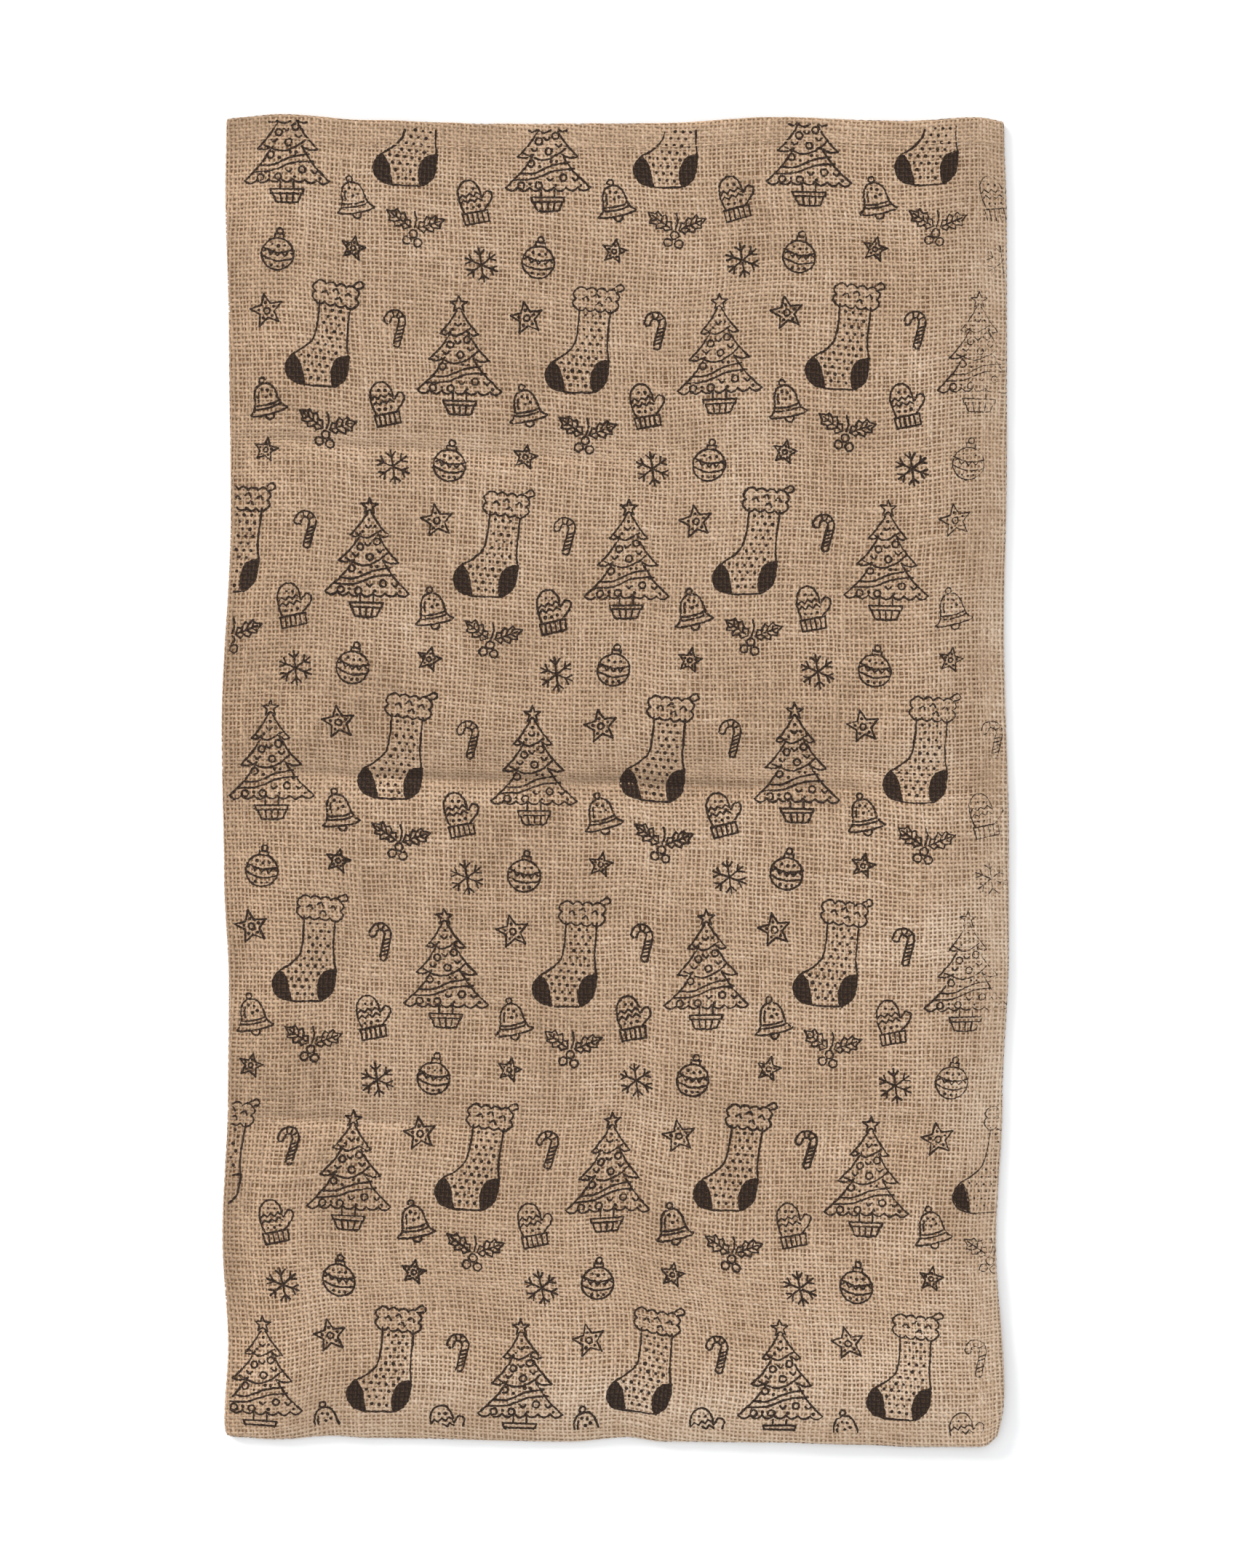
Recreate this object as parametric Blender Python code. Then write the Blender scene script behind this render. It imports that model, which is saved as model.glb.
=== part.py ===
"""An empty burlap sack that lies face up.

One length of jute cloth is folded down its left side, sewn along its right side and its foot
with the allowances turned inside, and hemmed inwards at the mouth. The back lies flat on the
surface. The front stands a little off it, softly, with three packing creases across it. Metres,
+Z up, the mouth at +Y, and the origin under the middle of the sack.
"""

import math
from collections import namedtuple

import bmesh
import bpy

MM = 0.001

# Driving sizes, in metres
WIDTH = 600 * MM
LENGTH = 1020 * MM
CLOTH = 1.2 * MM  # one layer of burlap
EDGE_HEIGHT = 4.4 * MM  # over both layers where the cloth turns round a side or the foot
LOFT = 11.2 * MM  # top of the front between the creases
MOUTH_HEIGHT = 9.6 * MM  # top of the front at the hem
SIDE_REACH = 70 * MM  # how far in from a side the front still rises
FOOT_REACH = 60 * MM
MOUTH_REACH = 70 * MM
HEM = 22 * MM  # depth of the turned hem
FOOT_ALLOWANCE = 38 * MM  # reach of the turned cloth inside the foot seam
SIDE_ALLOWANCE = 18 * MM  # and inside the side seam
STEP = 3 * MM  # over which a second layer begins
SEAM_CLEAR = 4 * MM  # from an edge to the turned layer inside it

# How the sack's outline strays from its straight sides: station along the side from its middle, and
# how far out the edge lies there, in millimetres
Wander = namedtuple("Wander", "along out")
LEFT_EDGE = [
    Wander(-510, 0.0),
    Wander(-495, 0.6),
    Wander(-439, -2.2),
    Wander(-355, 2.2),
    Wander(-243, -2.2),
    Wander(-159, -2.8),
    Wander(-75, 1.0),
    Wander(37, 2.8),
    Wander(205, -4.3),
    Wander(345, -2.8),
    Wander(457, 0.0),
    Wander(510, -1.0),
]
RIGHT_EDGE = [
    Wander(-510, -3.0),
    Wander(-467, -0.6),
    Wander(-355, -6.7),
    Wander(-243, -1.7),
    Wander(-131, 3.2),
    Wander(-47, 3.2),
    Wander(121, -0.6),
    Wander(250, 1.7),
    Wander(429, 1.7),
    Wander(510, -0.5),
]
FOOT_EDGE = [
    Wander(-300, -5.0),
    Wander(-258, -2.9),
    Wander(-217, -5.7),
    Wander(-190, -4.0),
    Wander(-34, -1.2),
    Wander(11, -4.6),
    Wander(40, -1.2),
    Wander(123, -0.7),
    Wander(190, 1.0),
    Wander(235, 2.7),
    Wander(279, 2.7),
    Wander(300, 1.0),
]
MOUTH_EDGE = [
    Wander(-300, 0.0),
    Wander(-258, 2.4),
    Wander(-190, -2.4),
    Wander(-90, -5.2),
    Wander(33, -4.8),
    Wander(122, 0.0),
    Wander(225, -2.8),
    Wander(279, 0.4),
    Wander(300, -2.0),
]

# How far each corner is rounded, across and along the sack, in millimetres
Corner = namedtuple("Corner", "across along")
CORNERS = {
    ("left", "foot"): Corner(8, 8),
    ("right", "foot"): Corner(14, 30),
    ("left", "mouth"): Corner(5, 5),
    ("right", "mouth"): Corner(6, 6),
}

# Packing creases across the front: height up the sack at the left and right sides, half width and
# depth of the trough, and the stretch of it that is pressed hardest. Outside that stretch it keeps
# a share of its depth.
Crease = namedtuple("Crease", "left right half_width depth begins ends elsewhere")
CREASES = [
    Crease(262, 254, 17, 1.8, -285, -80, 0.35),
    Crease(6, 9, 20, 2.6, -190, 150, 0.55),
    Crease(-260, -265, 18, 2.2, -300, -200, 0.45),
]
CREASE_FADE = 70 * MM  # over which a crease's pressed stretch runs out

# Soft swells of the front: centre, radius and height, in millimetres
Swell = namedtuple("Swell", "x y radius height")
SWELLS = [
    Swell(-230, 70, 95, -0.5),
    Swell(-235, -205, 85, -0.4),
    Swell(225, -440, 120, 0.5),
    Swell(235, -120, 60, 0.5),
    Swell(60, 390, 150, 0.4),
    Swell(-60, -390, 130, 0.3),
    Swell(90, 140, 110, 0.3),
]

# Grid stations: distances in from an edge, and the rows on each side of a crease, in millimetres
NEAR_SIDE = [0, 4, 8, 18, 21, 40, 66]
NEAR_FOOT = [0, 4, 8, 20, 38, 41, 60]
NEAR_MOUTH = [0, 5, 22, 25, 55]
BESIDE_CREASE = [-34, -18, -9, 0, 9, 18, 34]
MIDDLE_SPACING = 52  # between the columns and rows elsewhere

ROUND_STEPS = 3  # facets round a folded edge
SHARP_ANGLE = math.radians(50)  # the mouth's rim stays crisp and the folds are shaded smooth


def eased(rows, station):
    """The value of a table at a station, passing level through each of its rows."""
    mm = station / MM
    if mm <= rows[0].along:
        return rows[0].out * MM
    for low, high in zip(rows, rows[1:]):
        if mm <= high.along:
            t = (mm - low.along) / (high.along - low.along)
            t = t * t * (3 - 2 * t)
            return (low.out + (high.out - low.out) * t) * MM
    return rows[-1].out * MM


def rounded(x, y):
    """A point of the straight rectangle, drawn in where a corner is round."""
    side = "left" if x < 0 else "right"
    end = "foot" if y < 0 else "mouth"
    wide, tall = CORNERS[side, end].across * MM, CORNERS[side, end].along * MM
    across = (abs(x) - WIDTH / 2) / wide + 1
    along = (abs(y) - LENGTH / 2) / tall + 1
    if across <= 0 or along <= 0:
        return x, y
    x_in = WIDTH / 2 + wide * (across * math.sqrt(1 - along * along / 2) - 1)
    y_in = LENGTH / 2 + tall * (along * math.sqrt(1 - across * across / 2) - 1)
    return math.copysign(x_in, x), math.copysign(y_in, y)


def plan(x, y):
    """Where a point of the straight rectangle lies in the sack's uneven outline."""
    to_right = 0.5 + x / WIDTH
    to_mouth = 0.5 + y / LENGTH
    px, py = rounded(x, y)
    px += eased(RIGHT_EDGE, y) * to_right - eased(LEFT_EDGE, y) * (1 - to_right)
    py += eased(MOUTH_EDGE, x) * to_mouth - eased(FOOT_EDGE, x) * (1 - to_mouth)
    return px, py


def rise(distance, reach):
    """From 0 at an edge to 1 where the cloth has reached its full height."""
    left = 1 - min(distance / reach, 1)
    return 1 - left * left


def crease_depth(x, y):
    """How far the packing creases press the front down here."""
    depth = 0
    for c in CREASES:
        to_right = 0.5 + x / WIDTH
        middle = (c.left + (c.right - c.left) * to_right) * MM
        off = (y - middle) / (c.half_width * MM)
        outside = max(c.begins * MM - x, x - c.ends * MM, 0)
        pressed = math.exp(-((outside / CREASE_FADE) ** 2))
        strength = c.elsewhere + (1 - c.elsewhere) * pressed
        depth += c.depth * MM * strength * math.exp(-off * off)
    return depth


def swell(x, y):
    """How far the front's soft swells lift it here."""
    lift = 0
    for s in SWELLS:
        off = math.hypot(x / MM - s.x, y / MM - s.y) / s.radius
        lift += s.height * MM * math.exp(-off * off)
    return lift


def front_height(x, y):
    """Height of the front's outer face."""
    side = rise(WIDTH / 2 - abs(x), SIDE_REACH)
    foot = rise(LENGTH / 2 + y, FOOT_REACH)
    open_end = rise(LENGTH / 2 - y, MOUTH_REACH)
    loft = MOUTH_HEIGHT + (LOFT - MOUTH_HEIGHT) * open_end + swell(x, y) - crease_depth(x, y)
    return EDGE_HEIGHT + (loft - EDGE_HEIGHT) * side * foot


def begins(distance):
    """From 0 to 1 over the step at which a turned layer begins."""
    return min(max(distance / STEP, 0), 1)


def turned_layers(x, y, front):
    """How many more layers lie inside the outer one: the hem, and the seams' allowances."""
    off_right, off_foot, off_mouth = WIDTH / 2 - x, LENGTH / 2 + y, LENGTH / 2 - y
    clear_of_sides = begins(WIDTH / 2 - abs(x) - SEAM_CLEAR)
    clear_of_foot = begins(off_foot - SEAM_CLEAR)
    hem = clear_of_sides * begins(HEM + STEP - off_mouth)
    if not front:
        return hem
    foot = clear_of_sides * clear_of_foot * begins(FOOT_ALLOWANCE + STEP - off_foot)
    side = clear_of_sides * clear_of_foot * begins(SIDE_ALLOWANCE + STEP - off_right)
    return max(hem, foot, side)


def stations():
    """The grid's columns and rows, as places in the straight rectangle."""
    half = WIDTH / 2 / MM
    inner = half - NEAR_SIDE[-1]
    count = round(2 * inner / MIDDLE_SPACING)
    middle = [-inner + 2 * inner * i / count for i in range(1, count)]
    columns = [-half + d for d in NEAR_SIDE] + middle + [half - d for d in reversed(NEAR_SIDE)]

    half = LENGTH / 2 / MM
    fixed = [-half + d for d in NEAR_FOOT] + [half - d for d in NEAR_MOUTH]
    for c in CREASES:
        fixed += [(c.left + c.right) / 2 + d for d in BESIDE_CREASE]
    fixed.sort()
    rows = [fixed[0]]
    for place in fixed[1:]:
        gap = place - rows[-1]
        count = max(round(gap / MIDDLE_SPACING), 1)
        rows += [rows[-1] + gap * i / count for i in range(1, count + 1)]
    return [c * MM for c in columns], [r * MM for r in rows]


def outline(columns, rows):
    """Grid indices round the closed edges: down the left side, along the foot and up the right side."""
    last_column, last_row = len(columns) - 1, len(rows) - 1
    down = [(0, j) for j in range(last_row, 0, -1)]
    along = [(i, 0) for i in range(last_column)]
    up = [(last_column, j) for j in range(last_row + 1)]
    return down + along + up


def outward(path):
    """For each point of an open path, the unit vector that points out of the sack."""
    found = []
    for k in range(len(path)):
        before, after = path[max(k - 1, 0)], path[min(k + 1, len(path) - 1)]
        dx, dy = after[0] - before[0], after[1] - before[1]
        long = math.hypot(dx, dy)
        found.append((dy / long, -dx / long))
    # At the mouth the sides end square to it.
    found[0], found[-1] = (-1.0, 0.0), (1.0, 0.0)
    return found


def add_skin(bm, inside):
    """One face of the cloth, all the way round the sack. Returns its open edge at the mouth."""
    columns, rows = stations()
    last_column, last_row = len(columns) - 1, len(rows) - 1
    wall = CLOTH if inside else 0.0
    radius = EDGE_HEIGHT / 2 - wall
    edge = outline(columns, rows)
    path = [plan(columns[i], rows[j]) for i, j in edge]
    ways = outward(path)

    def height(i, j, front):
        x, y = columns[i], rows[j]
        if front:
            under = CLOTH * (1 + turned_layers(x, y, True)) if inside else 0
            return front_height(x, y) - under
        return CLOTH * (1 + turned_layers(x, y, False)) if inside else 0

    # Where each point of the grid lies, its closed edges drawn in by the round of the fold
    place = {}
    for i, x in enumerate(columns):
        for j, y in enumerate(rows):
            place[i, j] = plan(x, y)
    drawn = EDGE_HEIGHT / 2
    for (i, j), (x, y), (out_x, out_y) in zip(edge, path, ways):
        place[i, j] = (x - out_x * drawn, y - out_y * drawn)

    # The front
    front = {key: bm.verts.new((*at, height(*key, True))) for key, at in place.items()}
    for i in range(last_column):
        for j in range(last_row):
            bm.faces.new([front[i, j], front[i + 1, j], front[i + 1, j + 1], front[i, j + 1]])

    # The round of the fold, ring by ring down to the back
    rings = [[front[key] for key in edge]]
    for step in range(1, ROUND_STEPS + 1):
        angle = math.pi / 2 - math.pi * step / ROUND_STEPS
        ring = []
        for (x, y), (out_x, out_y) in zip(path, ways):
            reach = drawn - radius * math.cos(angle)
            z = EDGE_HEIGHT / 2 + radius * math.sin(angle)
            ring.append(bm.verts.new((x - out_x * reach, y - out_y * reach, z)))
        rings.append(ring)
    for upper, lower in zip(rings, rings[1:]):
        for k in range(len(edge) - 1):
            bm.faces.new([upper[k], lower[k], lower[k + 1], upper[k + 1]])

    # The back, with rows of its own only where the hem is turned over it
    foot_ring = rings[-1]
    hem_rows = [last_row]
    if inside:
        hem_rows = [j for j in range(last_row + 1) if rows[j] > LENGTH / 2 - HEM - 2 * STEP]
    back = {}
    for j in hem_rows:
        left_end, right_end = last_row - j, len(edge) - 1 - (last_row - j)
        back[0, j], back[last_column, j] = foot_ring[left_end], foot_ring[right_end]
        for i in range(1, last_column):
            back[i, j] = bm.verts.new((*place[i, j], height(i, j, False)))
    for low, high in zip(hem_rows, hem_rows[1:]):
        for i in range(last_column):
            bm.faces.new([back[i, low], back[i, high], back[i + 1, high], back[i + 1, low]])
    lowest = hem_rows[0]
    around = foot_ring[last_row - lowest : len(edge) - (last_row - lowest)]
    bm.faces.new(around[::-1] + [back[i, lowest] for i in range(1, last_column)])

    front_row = [front[i, last_row] for i in range(last_column + 1)]
    right_fold = [ring[-1] for ring in rings[1:-1]]
    back_row = [back[i, last_row] for i in range(last_column, -1, -1)]
    left_fold = [ring[0] for ring in rings[-2:0:-1]]
    return front_row + right_fold + back_row + left_fold


def make_sack():
    """The sack as one closed solid: an outer and an inner face that meet round the mouth."""
    bm = bmesh.new()
    outer = add_skin(bm, inside=False)
    skin_faces = len(bm.faces)
    inner = add_skin(bm, inside=True)
    bm.faces.ensure_lookup_table()
    bmesh.ops.reverse_faces(bm, faces=bm.faces[skin_faces:])
    for k in range(len(outer)):
        following = (k + 1) % len(outer)
        bm.faces.new([outer[k], outer[following], inner[following], inner[k]])
    bmesh.ops.recalc_face_normals(bm, faces=bm.faces)

    # The origin goes under the middle of what the outline really spans.
    xs = [v.co.x for v in bm.verts]
    ys = [v.co.y for v in bm.verts]
    middle = ((min(xs) + max(xs)) / 2, (min(ys) + max(ys)) / 2, 0)
    bmesh.ops.translate(bm, vec=[-m for m in middle], verts=bm.verts)

    mesh = bpy.data.meshes.new("sack_cloth")
    bm.to_mesh(mesh)
    bm.free()
    mesh.shade_smooth()
    mesh.set_sharp_from_angle(angle=SHARP_ANGLE)
    sack = bpy.data.objects.new("sack_cloth", mesh)
    bpy.context.scene.collection.objects.link(sack)
    return sack


def jute_burlap():
    """Raw jute, woven and unbleached: matt and light tan."""
    material = bpy.data.materials.new("jute burlap")
    material.use_nodes = True
    shader = material.node_tree.nodes["Principled BSDF"]
    shader.inputs["Base Color"].default_value = (0.38, 0.26, 0.175, 1)
    shader.inputs["Roughness"].default_value = 0.92
    shader.inputs["Metallic"].default_value = 0.0
    return material


def main():
    for old in list(bpy.data.objects):
        bpy.data.objects.remove(old)
    sack = make_sack()
    sack.data.materials.append(jute_burlap())


main()
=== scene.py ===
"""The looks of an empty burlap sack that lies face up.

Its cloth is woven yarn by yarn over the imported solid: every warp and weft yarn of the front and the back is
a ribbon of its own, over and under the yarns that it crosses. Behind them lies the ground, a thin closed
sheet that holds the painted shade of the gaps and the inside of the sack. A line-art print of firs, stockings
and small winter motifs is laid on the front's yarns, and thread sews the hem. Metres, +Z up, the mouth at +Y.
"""

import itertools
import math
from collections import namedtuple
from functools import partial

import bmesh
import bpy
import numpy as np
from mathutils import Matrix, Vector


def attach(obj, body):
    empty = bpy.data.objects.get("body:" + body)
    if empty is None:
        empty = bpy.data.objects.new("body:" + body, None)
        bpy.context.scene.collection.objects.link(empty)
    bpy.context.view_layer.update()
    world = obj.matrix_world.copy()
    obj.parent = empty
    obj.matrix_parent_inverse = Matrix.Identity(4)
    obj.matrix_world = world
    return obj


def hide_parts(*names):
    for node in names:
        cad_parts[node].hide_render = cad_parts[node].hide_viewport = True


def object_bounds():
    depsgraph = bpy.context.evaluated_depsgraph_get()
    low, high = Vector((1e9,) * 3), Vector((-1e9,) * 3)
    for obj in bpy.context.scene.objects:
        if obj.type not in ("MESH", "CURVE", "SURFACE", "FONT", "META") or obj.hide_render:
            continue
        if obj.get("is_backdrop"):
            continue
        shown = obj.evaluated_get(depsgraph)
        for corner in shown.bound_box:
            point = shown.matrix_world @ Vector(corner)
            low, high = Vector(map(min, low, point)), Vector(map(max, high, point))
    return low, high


bl_info = {
    "name": "Burlap sack",
    "version": (1, 0, 0),
    "blender": (4, 5, 0),
    "location": "3D View > Sidebar > Burlap sack",
    "description": "Weaves, prints and sews an empty burlap sack that lies face up",
    "category": "Object",
}

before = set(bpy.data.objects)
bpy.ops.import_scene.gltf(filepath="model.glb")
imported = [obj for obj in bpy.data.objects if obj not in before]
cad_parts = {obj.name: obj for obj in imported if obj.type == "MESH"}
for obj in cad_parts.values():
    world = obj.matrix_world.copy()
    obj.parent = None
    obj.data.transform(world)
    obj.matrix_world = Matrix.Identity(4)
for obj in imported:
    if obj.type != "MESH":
        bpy.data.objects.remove(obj)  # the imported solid, sack_cloth, on the body root

CAD_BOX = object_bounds()
MM = 0.001
QUARTER = math.pi / 2
FLANK_TILT = math.radians(38)  # how far a yarn's shading turns down at its flanks

# Driving sizes, as in the solid
WIDTH = 600 * MM
LENGTH = 1020 * MM
CLOTH = 1.2 * MM  # one layer of burlap
EDGE_HEIGHT = 4.4 * MM  # over both layers where the cloth turns round a side or the foot
LOFT = 11.2 * MM  # top of the front between the creases
MOUTH_HEIGHT = 9.6 * MM  # top of the front at the hem
SIDE_REACH = 70 * MM  # how far in from a side the front still rises
FOOT_REACH = 60 * MM
MOUTH_REACH = 70 * MM
HEM = 22 * MM  # depth of the turned hem
FOOT_ALLOWANCE = 38 * MM  # reach of the turned cloth inside the foot seam
SIDE_ALLOWANCE = 18 * MM  # and inside the side seam
LAYER_SOFT = 4 * MM  # over which a turned layer begins to back the cloth

FOLD = EDGE_HEIGHT / 2  # radius of the round at a side or the foot
RIM = CLOTH  # radius of the round at the mouth, over cloth and hem
SIDE_FLAT = WIDTH / 2 - FOLD  # half width and half length of what lies between the rounds
END_FLAT = LENGTH / 2 - FOLD
RIM_FLAT = LENGTH / 2 - RIM
SIDE_END = SIDE_FLAT + QUARTER * FOLD  # places on the cloth halfway down the rounds
FOOT_END = END_FLAT + QUARTER * FOLD
HEM_END = RIM_FLAT + math.pi * RIM + HEM - 2 * RIM  # the hem's raw edge, inside the sack

# How the sack's outline strays from its straight sides, as pairs in millimetres: the station along the side
# from its middle, and how far out the edge lies there
LEFT_EDGE = [
    (-510, 0.0), (-495, 0.6), (-439, -2.2), (-355, 2.2), (-243, -2.2), (-159, -2.8), (-75, 1.0),
    (37, 2.8), (205, -4.3), (345, -2.8), (457, 0.0), (510, -1.0),
]
RIGHT_EDGE = [
    (-510, -3.0), (-467, -0.6), (-355, -6.7), (-243, -1.7), (-131, 3.2), (-47, 3.2), (121, -0.6),
    (250, 1.7), (429, 1.7), (510, -0.5),
]
FOOT_EDGE = [
    (-300, -5.0), (-258, -2.9), (-217, -5.7), (-190, -4.0), (-34, -1.2), (11, -4.6), (40, -1.2),
    (123, -0.7), (190, 1.0), (235, 2.7), (279, 2.7), (300, 1.0),
]
MOUTH_EDGE = [
    (-300, 0.0), (-258, 2.4), (-190, -2.4), (-90, -5.2), (33, -4.8), (122, 0.0), (225, -2.8),
    (279, 0.4), (300, -2.0),
]
# How far each corner is rounded, across and along the sack, by its side and end, in millimetres
CORNERS = {(-1, -1): (8, 8), (1, -1): (14, 30), (-1, 1): (5, 5), (1, 1): (6, 6)}

# Packing creases across the front, in millimetres: place along the sack at the left and right sides, half
# width and depth of the trough, and the stretch of it that is pressed hardest. Elsewhere it keeps a share of
# its depth.
Crease = namedtuple("Crease", "left right half_width depth begins ends elsewhere")
CREASES = [
    Crease(262, 254, 17, 1.8, -285, -80, 0.35),
    Crease(6, 9, 20, 2.6, -190, 150, 0.55),
    Crease(-260, -265, 18, 2.2, -300, -200, 0.45),
]
DEEPEST_CREASE = max(crease.depth for crease in CREASES)
CREASE_FADE = 70 * MM  # over which a crease's pressed stretch runs out
WRINKLE = 1.2 * MM  # depth of the sharp wrinkle beside the crease that is pressed hardest
WRINKLE_HALF = 4.0 * MM
WRINKLE_BELOW = 9 * MM  # from the crease's line down to it, at the middle of the sack
WRINKLE_SLOPE = 0.03
WRINKLE_STRAY = 1.0 * MM  # how far it wavers
GATHER = 3.0 * MM  # how far a crease draws in the weft rows beside it
GATHER_CORE = 12 * MM  # half width of the band where they crowd
GATHER_REACH = 60 * MM

# Soft swells of the front: centre, radius and height, in millimetres
Swell = namedtuple("Swell", "x y radius height")
SWELLS = [
    Swell(*row)
    for row in (
        (-230, 70, 95, -0.5), (-235, -205, 85, -0.4), (225, -440, 120, 0.5), (235, -120, 60, 0.5),
        (60, 390, 150, 0.4), (-60, -390, 130, 0.3), (90, 140, 110, 0.3),
    )
]

# Where the sack's edge stands a little off the floor: centre, reach across and along, and height, all in
# millimetres
Lift = namedtuple("Lift", "x y reach_x reach_y height")
LIFTS = [
    Lift(180, -515, 120, 45, 2.6),
    Lift(308, -470, 42, 105, 2.9),
]

# Soft patches where the jute is darker, below 0, or paler, above 0: centre and reach across and along, in
# millimetres, and strength. Some paint shade along the middle crease and down the left edge, and paint
# highlights along the right edge and the foot; the left side and the mouth are darker than the rest.
Patch = namedtuple("Patch", "x y reach_x reach_y strength")
PAINTED_SHADE_AND_TONE = [
    Patch(*row)
    for row in (
        (0, 40, 330, 44, -0.45), (-150, 5, 100, 5, -1.9), (-10, 2, 90, 6, -1.9), (110, -4, 80, 7, -1.9),
        (120, -12, 110, 10, -0.8), (-260, -212, 80, 22, -0.75), (-295, 20, 60, 600, -0.45),
        (-300, 0, 14, 900, -1.1), (-290, 0, 34, 900, -0.7), (-150, -120, 140, 420, -0.25),
        (-293, -330, 14, 50, -1.0), (225, 22, 45, 22, 1.2), (262, -115, 25, 60, 1.0),
        (281, -245, 20, 60, 1.0), (284, 5, 18, 16, -1.8), (-96, -13, 45, 8, 1.3), (0, 26, 35, 12, 1.0),
        (50, 2, 70, 9, -0.8), (-302, 0, 6, 900, -1.6), (0, 512, 900, 5, -0.9), (0, 500, 900, 14, -0.5),
        (-250, 498, 70, 12, -0.9), (302, 0, 14, 900, 0.9), (302, 0, 5, 900, 2.0), (290, 0, 70, 700, 0.7),
        (0, -510, 900, 9, 0.5), (0, -512, 900, 5, 2.0), (40, -486, 190, 20, 0.9), (60, -470, 380, 50, 1.0),
        (30, -470, 160, 25, 0.6), (235, -150, 70, 45, 0.3), (-298, 250, 14, 90, -0.6),
        (-298, -385, 14, 70, -0.6), (250, -470, 120, 60, 0.3), (230, -330, 60, 40, 0.6),
        (235, -120, 60, 35, 0.50), (-245, 80, 60, 60, -0.40), (-225, -330, 60, 30, -0.35),
        (60, 250, 180, 60, 0.25),
    )
]

# Where the weft runs off the straight: a fall to the right about x, over a half width, between two places
# along the sack, all in millimetres
Fall = namedtuple("Fall", "x half_width drop low high")
FALLS = [
    Fall(*row)
    for row in (
        (-105, 150, 12, 10, 700), (-48, 40, 6, 10, 700), (231, 45, -7, 120, 380), (60, 110, 17, -700, 10),
        (-255, 40, 4, -140, -20), (-250, 45, -10, -700, -400), (8, 35, 5, 5, 65), (64, 35, 3, -700, -350),
    )
]
FALL_SOFT = 40 * MM  # over which a fall begins and ends
FALL_MIDDLE = 9 * MM  # half of the whole fall from side to side

# Warp and weft yarns, counted from the middle of the front. The warps go on round the left fold to the back.
FRONT_WARPS = 94
BACK_WARPS = 278
FOOT_WEFTS = 166
MOUTH_WEFTS = 174

# How yarns stray: how far, as a share of the unevenness, and over how many crossings across the yarns and
# along them. They do so together over a hand's breadth, in bunches, and each by itself.
BUNCHES_AND_YARNS = [(0.9, 1.5, 26), (0.9, 0, 9), (1.0, 0, 1.1)]
WARP_STRAYS = [(5.5, 14, 10), *BUNCHES_AND_YARNS]
WEFT_STRAYS = [(5.5, 12, 11), *BUNCHES_AND_YARNS]
SLUBS = 90  # thick places among the warps, and as many among the wefts
SLUB_LENGTH = 3  # crossings
SLUB_WIDER, SLUB_PALER = 0.45, 0.6

# How the yarns' widths and tones vary: from yarn to yarn, then along a yarn, over how many crossings
WIDTHS_VARY = (0.07, 0.19, 1.0)
TONES_VARY = (0.13, 0.20, 18)
MOTTLE, MOTTLE_REACH = 0.55, 0.9  # how much the tone varies from crossing to crossing, and over how many
POINTS_VARY = 0.10  # how far each point of a yarn's cross-section strays, as a share
BACKED_WIDER = 0.14  # how much wider a yarn lies where a second layer backs the cloth

# How the front's yarns crowd towards the folds, the rim and the foot: how far they move, how far inside the
# edge they begin to, and over how long a way
CROWD_SIDES = (3 * MM, 16 * MM, 9 * MM)
CROWD_RIM = (5 * MM, 12 * MM, 11 * MM)
CROWD_FOOT = (3 * MM, 12 * MM, 9 * MM)

# The line-art print, in millimetres: its field on the front, and the repeat, whose rows are each shifted past
# the one below
PRINT_LEFT, PRINT_RIGHT = -296, 302
PRINT_FOOT, PRINT_MOUTH = -500, 505
REPEAT_WIDTH, REPEAT_HEIGHT, ROW_SHIFT = 200, 158, 70
REPEAT_START = (-62, 12)
EDGE_OF_FIELD = (360, 570)  # motifs that begin past this, across and along, lie outside the field
LEAST_SHARE = 0.38  # of a motif's lines that has to lie in the field for it to be printed
HAND = 0.16  # how far the hand that drew the lines wavers
LINE_VARIES = 0.10  # of a line's width, from one stroke to the next
STROKES_A_FACE = 3  # drawn strokes that one face of a yarn can hold
STROKE_REACH = 4 * MM  # how near to a face's middle their edges are
SOLID_REACH = 3 * MM  # how near a solid patch's edge is where a face holds it
LOOKS_UP = 0.2  # the least that a printed face looks up, from 0 for sideways to 1
FAR_AWAY = 9.0  # where a face's unused strokes lie

Place = namedtuple("Place", "motif x y size turn")
REPEAT = [
    Place("fir", 0, 2, 0.85, 0),
    Place("stocking", 98, 12, 0.88, -6),
    Place("mitten", 142, -38, 0.95, 12),
    Place("bell", 51, -37, 0.80, 12),
    Place("star", 52, 31, 0.95, 10),
    Place("cane", 151, 22, 1.0, -14),
    Place("holly", 97, -60, 0.95, -8),
    Place("bauble", -8, -81, 0.95, -8),
    Place("snowflake", 148, -86, 1.0, 8),
    Place("star", 120, 82, 0.7, -12),
]

# How the ink lies on the yarns
INK_GRAIN = 2.2 * MM  # of the ragged edges, and how far they stray
INK_RAGGED = 0.42 * MM
INK_PATCH = 45 * MM  # of the places where the lines came out thinner or fuller, and by how much
INK_THIN, INK_FULL = 0.16 * MM, 0.12 * MM
INK_SOFT = 0.14 * MM  # half of what an edge takes to fade out
WEAR_BEGINS, WEAR_ENDS = 0.232, 0.300  # how far to the right the print is worn, and what it loses there
WEAR = 0.68 * MM

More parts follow.
